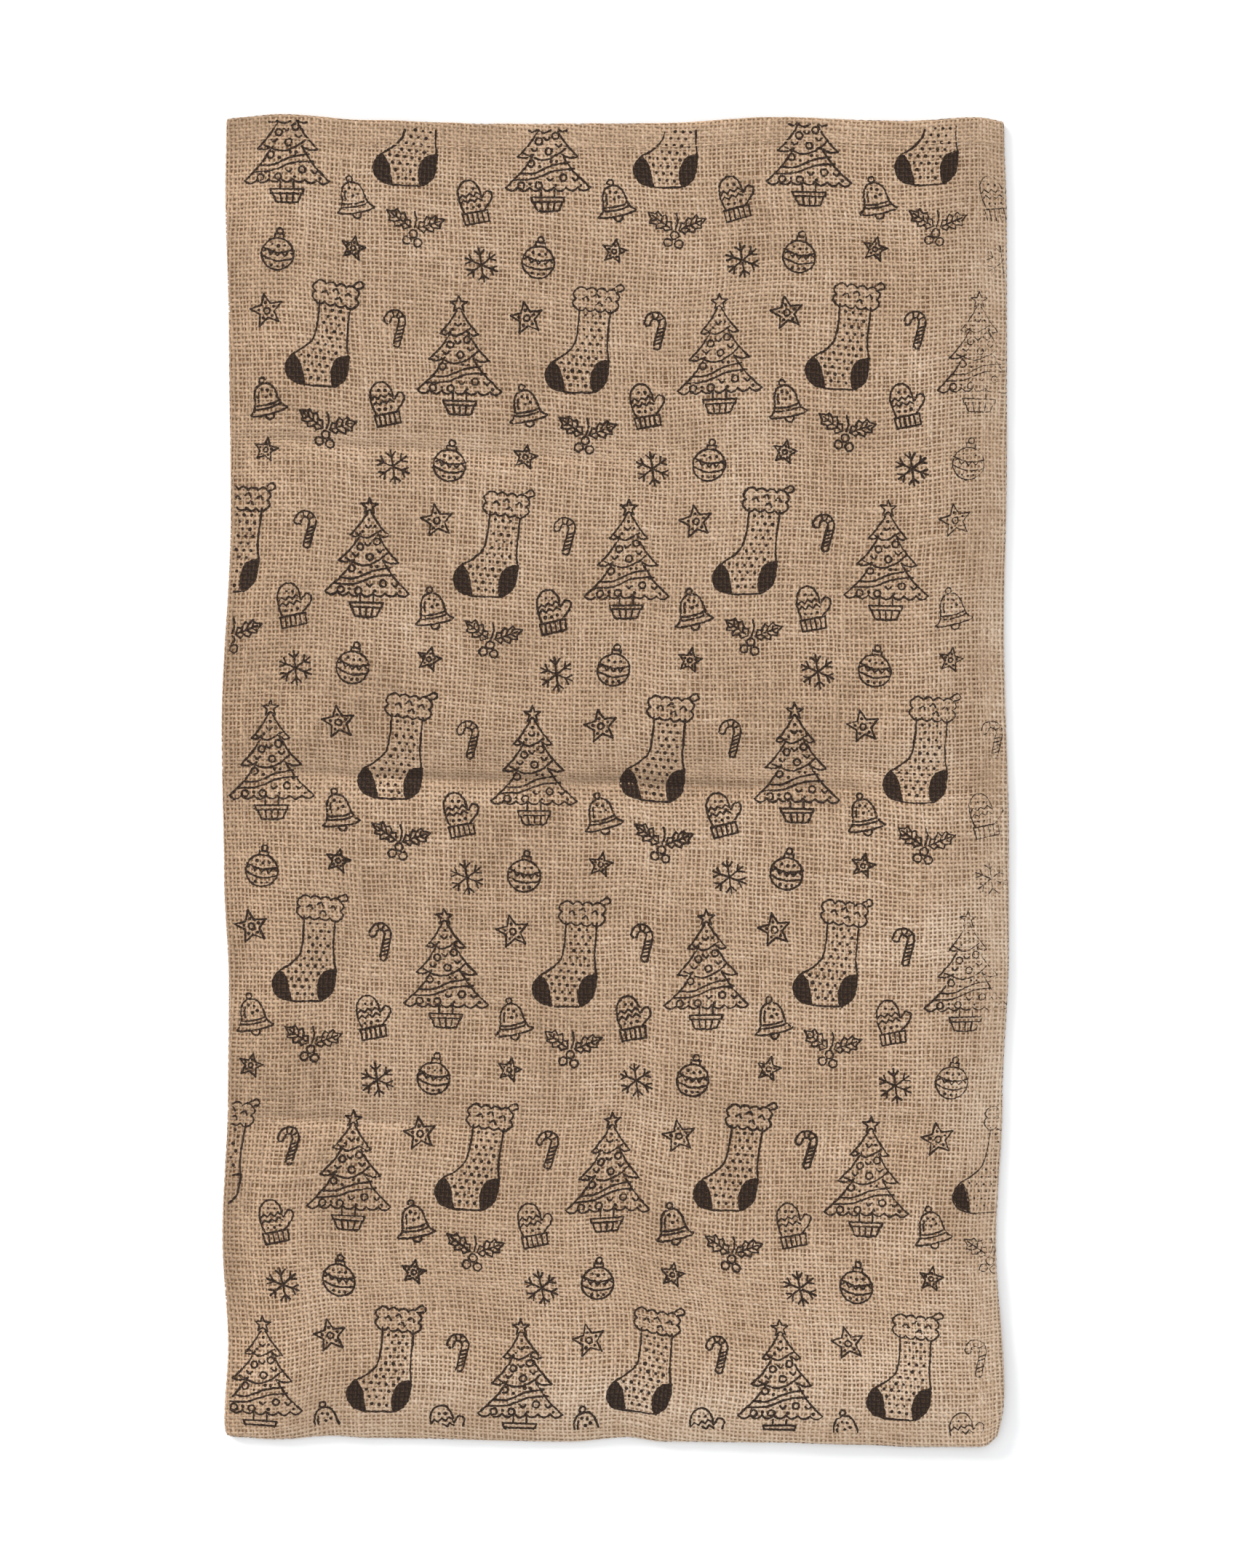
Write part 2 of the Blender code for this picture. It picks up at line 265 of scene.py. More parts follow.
# How the jute's tone varies
FIBRE_SCALES = (420, 3200, 7)  # streaks 2.4 mm long and 0.3 mm wide, other ones for each tone of yarn
CLOUDS = 70 * MM
TONE_OF_YARN, TONE_OF_FIBRES, TONE_OF_CLOUDS = 0.105, 0.75, 0.5  # how much each of them counts
TWIST = 1.5 * MM  # how far a fibre runs along the yarn while it crosses half of it

# The hem's stitches
STITCH, STITCH_GAP = 6.0 * MM, 2.6 * MM
STITCH_BOW, STITCH_SUNK = 0.55 * MM, 0.37 * MM  # how far one bows up, from how far below the cloth's face
STITCH_MARGIN = 6 * MM  # from the folds to the first and the last
HEM_MARGIN = 3 * MM  # from the hem's lower edge up to them
THREAD_RADIUS = 0.36 * MM
THREAD_SIDES = 5
SEWING_SEED = 31

# The loose fibres. Their length, how far they bow up and their half width at the root are each between two
# values, in millimetres.
FIBRES = 9000
FIBRE_LENGTH = (2.0, 5.5)
FIBRE_LIFT = (0.05, 0.55)
FIBRE_HALF = (0.035, 0.07)
FIBRE_SUNK = 0.25 * MM  # how far under the yarns' crowns their ends are
FIBRE_POINTS = 4
FIBRE_SEED = 11

# The ground's grid: its steps round a fold, from there to a little way inside the edge, and in the middle,
# then over the rim, down the inside of the hem and back along the inner face
NEAR_EDGE = 18 * MM
FOLD_STEP, NEAR_STEP, FAR_STEP = 1.2 * MM, 4.5 * MM, 5.5 * MM
RIM_STEP, HEM_STEP, INNER_STEP = 1.0 * MM, 5 * MM, 9 * MM
INNER_GAP = 0.05 * MM  # from the cloth's thickness on to the inner face
HEM_GAP = 0.4 * MM  # from the hem's raw edge down to where the inner face begins
JOIN = 0.02 * MM  # points nearer than this are one

FLOOR_HALF = 45.0  # half of the floor's side, so that no side of it shows from low down
FLOOR_BELOW = 0.1 * MM  # so that the cloth's own lowest faces do not flicker with it
KEY_PLACE = (-2.1, 2.0, 0.56)  # the key light shines from here to the origin, low from the upper left
KEY_SPAN = math.radians(29)  # how wide it is, for soft shadows


def cloth_sizes():
    """The sizes and colours of the cloth, as the sidebar shows them."""
    return bpy.context.scene.burlap_cloth


def linear(hex_colour):
    """A colour written as sRGB hex, as linear red, green and blue."""
    channels = [int(hex_colour[i : i + 2], 16) / 255 for i in (0, 2, 4)]
    return [c / 12.92 if c <= 0.04045 else ((c + 0.055) / 1.055) ** 2.4 for c in channels]


# ---------------------------------------------------------------- the form of the sack


def eased(rows, station):
    """The values of a table at some stations, passing level through each of its rows."""
    along, out = np.array(rows).T * MM
    row = np.clip(np.searchsorted(along, station, side="right") - 1, 0, len(rows) - 2)
    t = np.clip((station - along[row]) / (along[row + 1] - along[row]), 0, 1)
    return out[row] + (out[row + 1] - out[row]) * t * t * (3 - 2 * t)


def plan(x, y):
    """Where points of the straight rectangle lie in the sack's uneven outline, before it is centred."""
    to_right = 0.5 + x / WIDTH
    to_mouth = 0.5 + y / LENGTH
    px, py = np.array(x, float), np.array(y, float)
    for (side, end), (wide, tall) in CORNERS.items():
        across = (side * x - WIDTH / 2) / (wide * MM) + 1
        along = (end * y - LENGTH / 2) / (tall * MM) + 1
        inside = (across > 0) & (along > 0)
        drawn_x = across * np.sqrt(np.maximum(1 - along * along / 2, 0)) - 1
        drawn_y = along * np.sqrt(np.maximum(1 - across * across / 2, 0)) - 1
        px = np.where(inside, side * (WIDTH / 2 + wide * MM * drawn_x), px)
        py = np.where(inside, end * (LENGTH / 2 + tall * MM * drawn_y), py)
    px = px + eased(RIGHT_EDGE, y) * to_right - eased(LEFT_EDGE, y) * (1 - to_right)
    py = py + eased(MOUTH_EDGE, x) * to_mouth - eased(FOOT_EDGE, x) * (1 - to_mouth)
    return px, py


def middle_of_plan():
    """The middle of what the outline spans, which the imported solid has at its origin."""
    x = np.linspace(-WIDTH / 2, WIDTH / 2, 241)
    y = np.linspace(-LENGTH / 2, LENGTH / 2, 409)
    left, right = plan(np.full_like(y, x[0]), y)[0], plan(np.full_like(y, x[-1]), y)[0]
    foot, mouth = plan(x, np.full_like(x, y[0]))[1], plan(x, np.full_like(x, y[-1]))[1]
    return (left.min() + right.max()) / 2, (foot.min() + mouth.max()) / 2


MIDDLE = middle_of_plan()


def bell(off):
    """From 1 at 0 down to 0 a few units away on both sides."""
    return np.exp(-off * off)


def rise(distance, reach):
    """From 0 at an edge to 1 where the cloth has reached its full height."""
    left = 1 - np.clip(distance / reach, 0, 1)
    return 1 - left * left


def crease_strength(crease, x, y):
    """How far off a crease's line points lie, and how hard it is pressed there."""
    to_right = 0.5 + x / WIDTH
    line = (crease.left + (crease.right - crease.left) * to_right) * MM
    outside = np.maximum(np.maximum(crease.begins * MM - x, x - crease.ends * MM), 0)
    return y - line, crease.elsewhere + (1 - crease.elsewhere) * bell(outside / CREASE_FADE)


def front_height(x, y):
    """Height of the front's outer face between the rounds of its edges."""
    side = rise(SIDE_FLAT - np.abs(x), SIDE_REACH - FOLD)
    foot = rise(END_FLAT + y, FOOT_REACH - FOLD)
    loft = MOUTH_HEIGHT + (LOFT - MOUTH_HEIGHT) * rise(LENGTH / 2 - y, MOUTH_REACH)
    for s in SWELLS:
        loft = loft + s.height * MM * bell(np.hypot(x / MM - s.x, y / MM - s.y) / s.radius)
    for crease in CREASES:
        off, strength = crease_strength(crease, x, y)
        loft = loft - crease.depth * MM * strength * bell(off / (crease.half_width * MM))
        off = off + WRINKLE_BELOW + WRINKLE_SLOPE * x
        off = off + WRINKLE_STRAY * (np.sin(x / (44 * MM)) + 0.5 * np.sin(x / (17 * MM) + 2))
        pressed = crease.depth / DEEPEST_CREASE * strength**2
        loft = loft - WRINKLE * pressed * bell(off / WRINKLE_HALF)
    return EDGE_HEIGHT + (loft - EDGE_HEIGHT) * side * foot


def patches(x, y, rows):
    """The sum of soft patches at some points. The last field of each row is its strength."""
    total = 0
    for row in rows:
        off = ((x / MM - row.x) / row.reach_x) ** 2 + ((y / MM - row.y) / row.reach_y) ** 2
        total = total + row[-1] * np.exp(-off)
    return total


def surface(front, u, v, above):
    """Points of the cloth, as an array of (..., 3).

    u and v are places on the straight rectangle, in metres from its middle, and run on past it round a fold:
    over a side or the foot to halfway down, and over the mouth and back inside along the hem. above is the
    height over the cloth's outer face.
    """
    over_rim = v - RIM_FLAT
    turned = np.clip(over_rim / RIM, 0, math.pi)
    y = np.minimum(v, RIM_FLAT) - np.maximum(over_rim - math.pi * RIM, 0)
    across = np.clip(u, -SIDE_FLAT, SIDE_FLAT)
    along = np.maximum(y, -END_FLAT)
    past_x, past_y = u - across, y - along
    past = np.hypot(past_x, past_y)
    way_x = np.divide(past_x, past, out=np.zeros_like(past), where=past > 0)
    way_y = np.divide(past_y, past, out=np.zeros_like(past), where=past > 0)
    angle = np.minimum(past / FOLD, QUARTER)
    sine, cosine = np.sin(angle), np.cos(angle)

    # The outer face, and the way out of the cloth there
    px, py = plan(across, along)
    px = px - MIDDLE[0] + way_x * FOLD * sine
    py = py - MIDDLE[1] + way_y * FOLD * sine
    if front:
        top = front_height(across, along)
        pz = top - (top - FOLD) * (1 - cosine)
    else:
        pz = FOLD * (1 - cosine)
    pz = pz + patches(across, along, LIFTS) * MM
    out_x, out_y, out_z = way_x * sine, way_y * sine, cosine if front else -cosine

    # Over the rim the way out turns with the hem.
    lift = (RIM + above) * np.cos(turned) - RIM
    py = py + (RIM + above) * np.sin(turned)
    return np.stack([px + out_x * lift, py + out_y * lift, pz + out_z * lift], axis=-1)


def layers(u, v):
    """From 0 to 1, how far a second layer of cloth backs the front here: the hem and the allowances."""
    hem = v - (LENGTH / 2 - HEM)
    foot = FOOT_ALLOWANCE - LENGTH / 2 - v
    side = u - (WIDTH / 2 - SIDE_ALLOWANCE)
    return np.clip(np.maximum(np.maximum(hem, foot), side) / LAYER_SOFT, 0, 1)


# ---------------------------------------------------------------- the weave


def smooth_noise(rng, shape, reach):
    """A random field of unit spread, smooth over that many places along each axis. 0 leaves an axis rough."""
    rows = np.fft.fftfreq(shape[0])[:, None] * reach[0]
    columns = np.fft.rfftfreq(shape[1])[None] * reach[1]
    low = np.exp(-2 * math.pi**2 * (rows**2 + columns**2))
    field = np.fft.irfft2(np.fft.rfft2(rng.standard_normal(shape)) * low, shape)
    return field / field.std()


def soft_step(x):
    """From 0 to 1 about x = 0, with a slope of one half there."""
    return 0.5 + 0.5 * np.tanh(x)


def fall_of_weft(u, v):
    """How far the weft has dropped below the straight by here, counted from the left side."""
    drop = -FALL_MIDDLE
    for f in FALLS:
        window = soft_step((v - f.low * MM) / FALL_SOFT) * soft_step((f.high * MM - v) / FALL_SOFT)
        drop = drop + f.drop * MM * window * soft_step((u - f.x * MM) / (f.half_width * MM))
    return drop


def crowded(from_edge, amount, begins, soft):
    """How far yarns are pushed inwards, at some distances inside an edge."""
    return amount * soft_step((begins - from_edge) / soft)


def slubs(rng, shape):
    """Thick places: rows of a field are yarns, and each slub swells one of them over some crossings."""
    field = np.zeros(shape)
    along = np.arange(shape[1])
    yarns = rng.integers(0, shape[0], SLUBS)
    for yarn, at, size in zip(yarns, rng.uniform(0, shape[1], SLUBS), rng.uniform(0.5, 1.0, SLUBS)):
        field[yarn] += size * bell((along - at) / (SLUB_LENGTH * size))
    return field


def stray(rng, shape, strays, lengthwise):
    """How far yarns stray sideways at each crossing: the sum of some smooth noises."""
    total = 0
    for amount, across, along in strays:
        reach = (across, along) if lengthwise else (along, across)
        total = total + amount * cloth_sizes().unevenness * smooth_noise(rng, shape, reach)
    return total


def varied(rng, shape, lengthwise, of_yarn, of_place, reach):
    """A field that varies from yarn to yarn and, smoothly over some crossings, along each of them."""
    if lengthwise:
        own, reach = rng.standard_normal(shape[0])[:, None], (0, reach)
    else:
        own, reach = rng.standard_normal(shape[1])[None], (reach, 0)
    return of_yarn * own + of_place * smooth_noise(rng, shape, reach)


Weave = namedtuple("Weave", "u v warp_half weft_half warp_tone weft_tone over")


def weave(front):
    """The crossings of one side of the sack, as arrays of (warp, weft): where they lie on the cloth, each
    yarn's half width and tone there, and which of the two lies over the other."""
    sizes = cloth_sizes()
    pitch, half = sizes.pitch, sizes.yarn_width / 2
    rng = np.random.default_rng(sizes.seed)
    warps = np.arange(-BACK_WARPS, FRONT_WARPS + 1)
    wefts = np.arange(-FOOT_WEFTS, MOUTH_WEFTS + 1)
    shape = (len(warps), len(wefts))
    s, t = warps[:, None] * pitch, wefts[None] * pitch

    stray_u = stray(rng, shape, WARP_STRAYS, True)
    stray_v = stray(rng, shape, WEFT_STRAYS, False)
    warp_slubs = slubs(rng, shape)
    weft_slubs = slubs(rng, shape[::-1]).T
    warp_half, weft_half = (1 + varied(rng, shape, way, *WIDTHS_VARY) for way in (True, False))
    warp_tone, weft_tone = (varied(rng, shape, way, *TONES_VARY) for way in (True, False))
    warp_tone = warp_tone + MOTTLE * smooth_noise(rng, shape, (0, MOTTLE_REACH)) + SLUB_PALER * warp_slubs
    weft_tone = weft_tone + MOTTLE * smooth_noise(rng, shape, (MOTTLE_REACH, 0)) + SLUB_PALER * weft_slubs

    u = s + stray_u
    if front:
        u = u - np.sign(u) * crowded(WIDTH / 2 - np.abs(u), *CROWD_SIDES)
        v = t + stray_v - fall_of_weft(u, t)
        v = v - crowded(LENGTH / 2 - v, *CROWD_RIM)
        v = v + crowded(LENGTH / 2 + v, *CROWD_FOOT)
        for crease in CREASES:  # The weft crowds towards these too.
            off, strength = crease_strength(crease, u, v)
            v = v - GATHER * strength * np.tanh(off / GATHER_CORE) * bell(off / GATHER_REACH)
        # The patches paint shade and highlights into the front's yarn tone.
        painted_shade_and_tone = patches(u, v, PAINTED_SHADE_AND_TONE)
        warp_tone, weft_tone = warp_tone + painted_shade_and_tone, weft_tone + painted_shade_and_tone
    else:
        u = -2 * SIDE_END - u
        v = t + stray_v - 0.5 * fall_of_weft(u, t) + 0.5 * FALL_MIDDLE

    fuller = half * (1 + BACKED_WIDER * layers(u, v))
    warp_half = fuller * (warp_half + SLUB_WIDER * warp_slubs)
    weft_half = fuller * (weft_half + SLUB_WIDER * weft_slubs)
    over = (warps[:, None] + wefts[None]) % 2 == 0
    used = (np.abs(u) < SIDE_END + 3 * pitch).any(axis=1)
    return Weave(*(field[used] for field in (u, v, warp_half, weft_half, warp_tone, weft_tone, over)))


Ribbons = namedtuple("Ribbons", "points normals keep along across tone depth")


def ribbons(front, lengthwise, woven, profile):
    """One set of yarns as rows of rings. profile is the yarn's cross-section: pairs of a share of its half
    width and a drop below its crown. The arrays run over yarn, ring and profile point."""
    sizes = cloth_sizes()
    u, v = woven.u, woven.v
    half, tone, over = woven.warp_half, woven.warp_tone, woven.over
    if not lengthwise:
        u, v, half, tone, over = u.T, v.T, woven.weft_half.T, woven.weft_tone.T, ~woven.over.T
    # A yarn is kept as far as it lies on the cloth, and ends at its edge.
    along_cloth = (v > -FOOT_END) & (v < HEM_END)
    across_cloth = np.abs(u) < SIDE_END
    runs, stays = (along_cloth, across_cloth) if lengthwise else (across_cloth, along_cloth)
    keep = (runs[:, :-1] | runs[:, 1:]) & stays[:, :-1] & stays[:, 1:]
    u = np.clip(u, -SIDE_END, SIDE_END)
    v = np.clip(v, -FOOT_END, HEM_END)

    level = -sizes.yarn_rise + np.where(over, sizes.yarn_rise, -sizes.yarn_rise)
    share, drop = np.array(profile).T
    rng = np.random.default_rng(sizes.seed + 1)
    off = half[..., None] * share * rng.normal(1, POINTS_VARY, (*half.shape, len(profile)))
    above = level[..., None] - drop
    u, v = u[..., None], v[..., None]
    at_u, at_v = (u + off, v) if lengthwise else (u, v + off)
    points = surface(front, *np.broadcast_arrays(at_u, at_v), above)

    # Shading normals: rounder at the flanks than the few faces of a yarn can be
    centre = points[:, :, len(profile) // 2]
    along_way = np.gradient(centre, axis=1)[:, :, None]
    side_way = (points[:, :, -1] - points[:, :, 0])[:, :, None]
    side_way /= np.linalg.norm(side_way, axis=-1, keepdims=True) + 1e-12
    up = np.cross(side_way, along_way) if lengthwise == front else np.cross(along_way, side_way)
    up /= np.linalg.norm(up, axis=-1, keepdims=True) + 1e-12
    tilt = (FLANK_TILT * share)[:, None]
    normals = up * np.cos(tilt) + side_way * np.sin(tilt)

    steps = np.linalg.norm(np.diff(centre, axis=1), axis=-1)
    length = np.concatenate([np.zeros((len(steps), 1)), np.cumsum(steps, axis=1)], axis=1)
    facts = (length[..., None], share, tone[..., None], np.where(over, 0.0, 1.0)[..., None])
    return Ribbons(points, normals, keep, *(np.broadcast_to(fact, off.shape) for fact in facts))


def mesh_from_arrays(name, points, corners):
    """A mesh of four-cornered faces from an array of points and one of corner indices."""
    mesh = bpy.data.meshes.new(name)
    mesh.vertices.add(len(points))
    mesh.vertices.foreach_set("co", np.ascontiguousarray(points, np.float32).ravel())
    mesh.loops.add(corners.size)
    mesh.loops.foreach_set("vertex_index", np.ascontiguousarray(corners, np.int32).ravel())
    mesh.polygons.add(len(corners))
    mesh.polygons.foreach_set("loop_start", np.arange(0, corners.size, corners.shape[1], dtype=np.int32))
    mesh.update(calc_edges=True)
    mesh.validate()
    mesh.shade_smooth()
    return mesh


def grid_corners(index):
    """The corners of the faces between the points of a grid, from the grid of their indices."""
    low, high = index[..., :-1, :], index[..., 1:, :]
    return np.stack([low[..., :-1], high[..., :-1], high[..., 1:], low[..., 1:]], axis=-1)


def new_object(name, data):
    """A new object of a mesh, camera or light, in the scene."""
    made = bpy.data.objects.new(name, data)
    bpy.context.scene.collection.objects.link(made)
    return made


def add_values(mesh, name, values, domain="POINT"):
    """Stores a vector for each point or face of a mesh, for its material to read."""
    made = mesh.attributes.new(name, "FLOAT_VECTOR", domain)
    made.data.foreach_set("vector", np.ascontiguousarray(values, np.float32).ravel())


def woven_piece(name, ribbon, rows, flip, lengths):
    """Makes one object of some of the yarns. rows picks them, flip turns their faces over, and lengths says
    in how many lengths each yarn is laid out on the piece's map."""
    points, keep = ribbon.points[rows], ribbon.keep[rows]
    shape = points.shape[:3]
    quads = grid_corners(np.arange(math.prod(shape)).reshape(shape))
    corners = quads[np.broadcast_to(keep[..., None], quads.shape[:3])]
    if flip:
        corners = corners[:, ::-1]
    used, corners = np.unique(corners, return_inverse=True)
    corners = corners.reshape(-1, 4)
    mesh = mesh_from_arrays(name, points.reshape(-1, 3)[used], corners)
    facts = np.stack([ribbon.depth[rows], ribbon.across[rows], ribbon.tone[rows]], axis=-1)
    add_values(mesh, "yarn", facts.reshape(-1, 3)[used])
    mesh.attributes.new("length", "FLOAT", "POINT").data.foreach_set(
        "value", ribbon.along[rows].reshape(-1)[used].astype(np.float32)
    )

    # The map: a row for each length of yarn, along it one way and across it the other
    yarn, ring = (part.reshape(-1)[used] for part in np.indices(shape)[:2])
    across = facts[..., 1].reshape(-1)[used]
    live = np.nonzero(keep.any(axis=0))[0]
    begins, ends = live.min(), live.max() + 1
    share = (ring - begins) / (ends - begins) * lengths
    length = np.clip(np.floor(share[corners].mean(axis=1)), 0, lengths - 1)[:, None]
    along = 0.002 + 0.996 * np.clip(share[corners] - length, 0, 1)
    row = (yarn[corners] * lengths + length + 0.5 + 0.40 * across[corners]) / (shape[0] * lengths)
    uv = np.stack([along, row], axis=-1)
    mesh.uv_layers.new(name="OFBake").uv.foreach_set("vector", uv.astype(np.float32).ravel())
    mesh.normals_split_custom_set_from_vertices(ribbon.normals[rows].reshape(-1, 3)[used])
    return new_object(name, mesh)


def woven_pieces(front, profile, endings):
    """Weaves one side of the sack: its warps, then its wefts, dealt out to a piece for each ending."""
    side, woven = "front" if front else "back", weave(front)
    for lengthwise, kind, lengths in ((True, "warp", 2), (False, "weft", 1)):
        ribbon = ribbons(front, lengthwise, woven, profile)
        for first, ending in enumerate(endings):
            rows = slice(first, None, len(endings))
            yield woven_piece(f"{side}_{kind}{ending}", ribbon, rows, lengthwise == front, lengths)


# ---------------------------------------------------------------- the print's motifs, in millimetres


def curve(points, steps=5):
    """A smooth line through some points."""
    p = np.array([points[0], *points, points[-1]], float)
    t = (np.arange(steps) / steps)[:, None]
    at = []
    for a, b, c, d in zip(p, p[1:], p[2:], p[3:]):
        bend, twist = 2 * a - 5 * b + 4 * c - d, 3 * b - a - 3 * c + d
        at.append(0.5 * (2 * b + (c - a) * t + bend * t**2 + twist * t**3))
    return np.concatenate([*at, p[-1:]])


def arc(x, y, radius, start=0, end=360, steps=12, squash=1.0):
    """Part of a circle or ellipse, by its angles in degrees."""
    angle = np.radians(np.linspace(start, end, steps + 1))
    return np.stack([x + radius * np.cos(angle), y + radius * squash * np.sin(angle)], axis=-1)


def dot(x, y):
    """A stroke with no length, which prints as a round spot."""
    return np.array([(x, y), (x + 0.01, y)])


def scallops(start, end, count, depth):
    """A row of small bulges from one point to another, to the left of the way."""
    a, b = np.array(start, float), np.array(end, float)
    way = (b - a) / count
    side = np.array([-way[1], way[0]]) / np.hypot(*way)
    t = np.arange(6 * count)[:, None] / 6
    return np.concatenate([a + way * t + side * depth * np.sin(math.pi * (t % 1)) ** 0.8, [b]])


def turned(points, degrees):
    """Points turned to the left about their origin."""
    x, y = points.T
    cosine, sine = math.cos(math.radians(degrees)), math.sin(math.radians(degrees))
    return np.stack([x * cosine - y * sine, x * sine + y * cosine], axis=-1)


Drawing = namedtuple("Drawing", "strokes spots solids")  # lines, larger dots and filled outlines


def star_points(x, y, outer, inner):
    """The closed outline of a five-pointed star."""
    angle = np.radians(90 + 36 * np.arange(11))
    radius = np.where(np.arange(11) % 2, inner, outer)
    return np.stack([x + radius * np.cos(angle), y + radius * np.sin(angle)], axis=-1)


def both_sides(*points):
    """A smooth line through some points and its mirror image."""
    return [curve([(side * x, y) for x, y in points]) for side in (-1, 1)]


def line(*points):
    """A line with corners through some points."""
    return np.array(points, float)


def dots(*places):
    """A spot at each place."""
    return [dot(*place) for place in places]


def draw_fir():
    """A fir in a pot, with a star, garlands and baubles."""
    strokes = [star_points(0, 46, 7.5, 3.2)]
    tiers = [(40, 2, 17, 19), (20, 8, 27, -5), (-3, 13, 38, -33)]
    for top, inner, outer, foot in tiers:
        strokes += both_sides((inner, top), ((inner + outer) * 0.45, (top + foot) / 2), (outer, foot))
    for (_, _, outer, foot), (_, inner, _, _) in zip(tiers, tiers[1:]):
        strokes += both_sides((outer, foot), ((outer + inner) / 2, foot - 1), (inner, foot + 2))
    strokes.append(scallops((38, -33), (-38, -33), 7, 3.0))
    strokes.append(curve([(-13, 22), (-3, 17), (10, 24)]))
    strokes.append(curve([(-21, -2), (-5, -8), (9, -3), (17, 4)]))
    strokes.append(curve([(-30, -26), (-12, -25), (6, -18), (24, -16)]))
    strokes.append(curve([(-25, -20), (-12, -20), (4, -13), (20, -10)]))
    strokes += [line((x, -35), (x, -42)) for x in (-6, 6)]
    strokes.append(line((-15, -42), (15, -42), (14, -46), (-14, -46), (-15, -42)))
    strokes.append(curve([(-13, -46), (-11, -51), (-9, -54), (0, -54.6), (9, -54), (11, -51), (13, -46)]))
    strokes += [line((x, -46), (x * 0.8, -54)) for x in (-6, 0, 6)]
    for x, y in [(-8, 9), (7, 14), (1, 0), (-15, -11), (14, -24), (-8, -31), (-24, -31)]:
        strokes.append(arc(x, y, 3.0))
    for x, y in [(-1, 27), (-1, 11), (10, 5), (-12, 1), (2, -26), (25, -26)]:
        strokes.append(curve([(x - 2.6, y + 1.5), (x, y - 0.8), (x + 2.6, y + 1.5)], steps=3))
    upper = dots((0, 34), (5, 28), (-6, 23), (8, -9), (3, -9), (-7, -14))
    lower = dots((20, -17), (-16, -30), (7, -31), (30, -31))
    return Drawing(strokes, upper + lower, [])


def inside_outline(outline, x, y):
    """Whether points lie inside a closed outline."""
    ax, ay = outline[:-1, 0], outline[:-1, 1]
    bx, by = outline[1:, 0], outline[1:, 1]
    x, y = np.asarray(x)[..., None], np.asarray(y)[..., None]
    spans = (ay > y) != (by > y)
    rise_y = np.where(by == ay, 1, by - ay)
    crosses = x < (bx - ax) * (y - ay) / rise_y + ax
    return (spans & crosses).sum(axis=-1) % 2 == 1


def draw_stocking():
    """A dotted stocking with a fluffy cuff and a dark heel and toe."""
    front = [(-9, 30), (-9, 12), (-11, -3), (-19, -13), (-29, -21), (-33, -32), (-27, -42), (-14, -45)]
    sole_and_back = [(0, -44), (12, -42), (20, -33), (21, -17), (18, 0), (18, 30)]
    body = curve(front + sole_and_back, steps=4)
    heel = [(21, -14), (11, -18), (7, -30), (10, -42.5), (16, -38.5), (20.4, -32), (21, -14)]
    toe = [(-15, -45), (-18, -35), (-22, -25), (-28, -20.5), (-32.7, -30), (-28.5, -40.5), (-15, -45)]
    heel, toe = curve(heel, steps=3), curve(toe, steps=3)
    corners = [(-13, 46), (-13, 30), (22, 30), (22, 46), (-13, 46)]
    bulges = [(2, -2.6), (4, -2.4)] * 2
    cuff = np.concatenate([scallops(*ends, *bulge) for *ends, bulge in zip(corners, corners[1:], bulges)])
    strokes = [body, heel, toe, cuff]
    strokes.append(curve([(18, 48), (25, 53), (28, 49), (22, 46)]))
    for x, y in [(-7, 38), (2, 41), (5, 34), (13, 39)]:
        strokes.append(curve([(x, y), (x + 3, y + 2), (x + 5, y - 1)]))
    spots = []
    for row, y in enumerate(np.arange(24, -42, -6.2)):
        for x in np.arange(-30, 22, 6.6) + 3.3 * (row % 2):
            ring = arc(x, y, 2.6, 0, math.degrees(5), 5)
            clear = inside_outline(np.concatenate([body, body[:1]]), *ring.T).all()
            if clear and not any(inside_outline(solid, *ring.T).any() for solid in (heel, toe)):
                spots.append(dot(x, y))
    return Drawing(strokes, spots, [heel, toe])


def draw_bell():
    """A bell with its clapper."""
    strokes = both_sides((0, 15.5), (6, 13.5), (10, 7), (11.5, -2), (13.5, -8), (18, -12))
    for y, radius, squash in ((-12, 18, 0.16), (-6.5, 13, 0.18), (-3.5, 12, 0.18)):
        strokes.append(arc(0, y, radius, 180, 360, 12, squash))
    strokes += [arc(0, -16, 4.0, 165, 375, 9), arc(0, 18.4, 2.8)]
    strokes.append(curve([(-6, 8), (-7.3, 4), (-7.6, -1)]))
    return Drawing(strokes, dots((3, 8), (5, 3), (0, 2), (-2, 10)), [])


def draw_mitten():
    """A knitted mitten with a ribbed cuff and a zigzag over the hand."""
    hand = [(-8, -8), (-10, 2), (-9, 12), (-3, 18), (4, 17), (8, 10)]
    thumb = [(8.5, 3), (13, 7), (17, 5), (16, 0), (10, -6), (8, -8)]
    zigzag = line(*((x, 5 + 2.6 * (i % 2)) for i, x in enumerate(np.arange(-9.5, 8.6, 2.9))))
    strokes = [curve(hand + thumb, steps=4), zigzag, zigzag - (0, 4.6)]
    strokes.append(line((-10, -8), (10.5, -8), (10, -17), (-9.5, -17), (-10, -8)))
    strokes += [line((x, -8), (x, -17)) for x in (-6, -2, 2, 6)]
    return Drawing(strokes, dots((-2, 12), (3, 11), (-5, -3.5), (0, -4), (5, -3.5)), [])


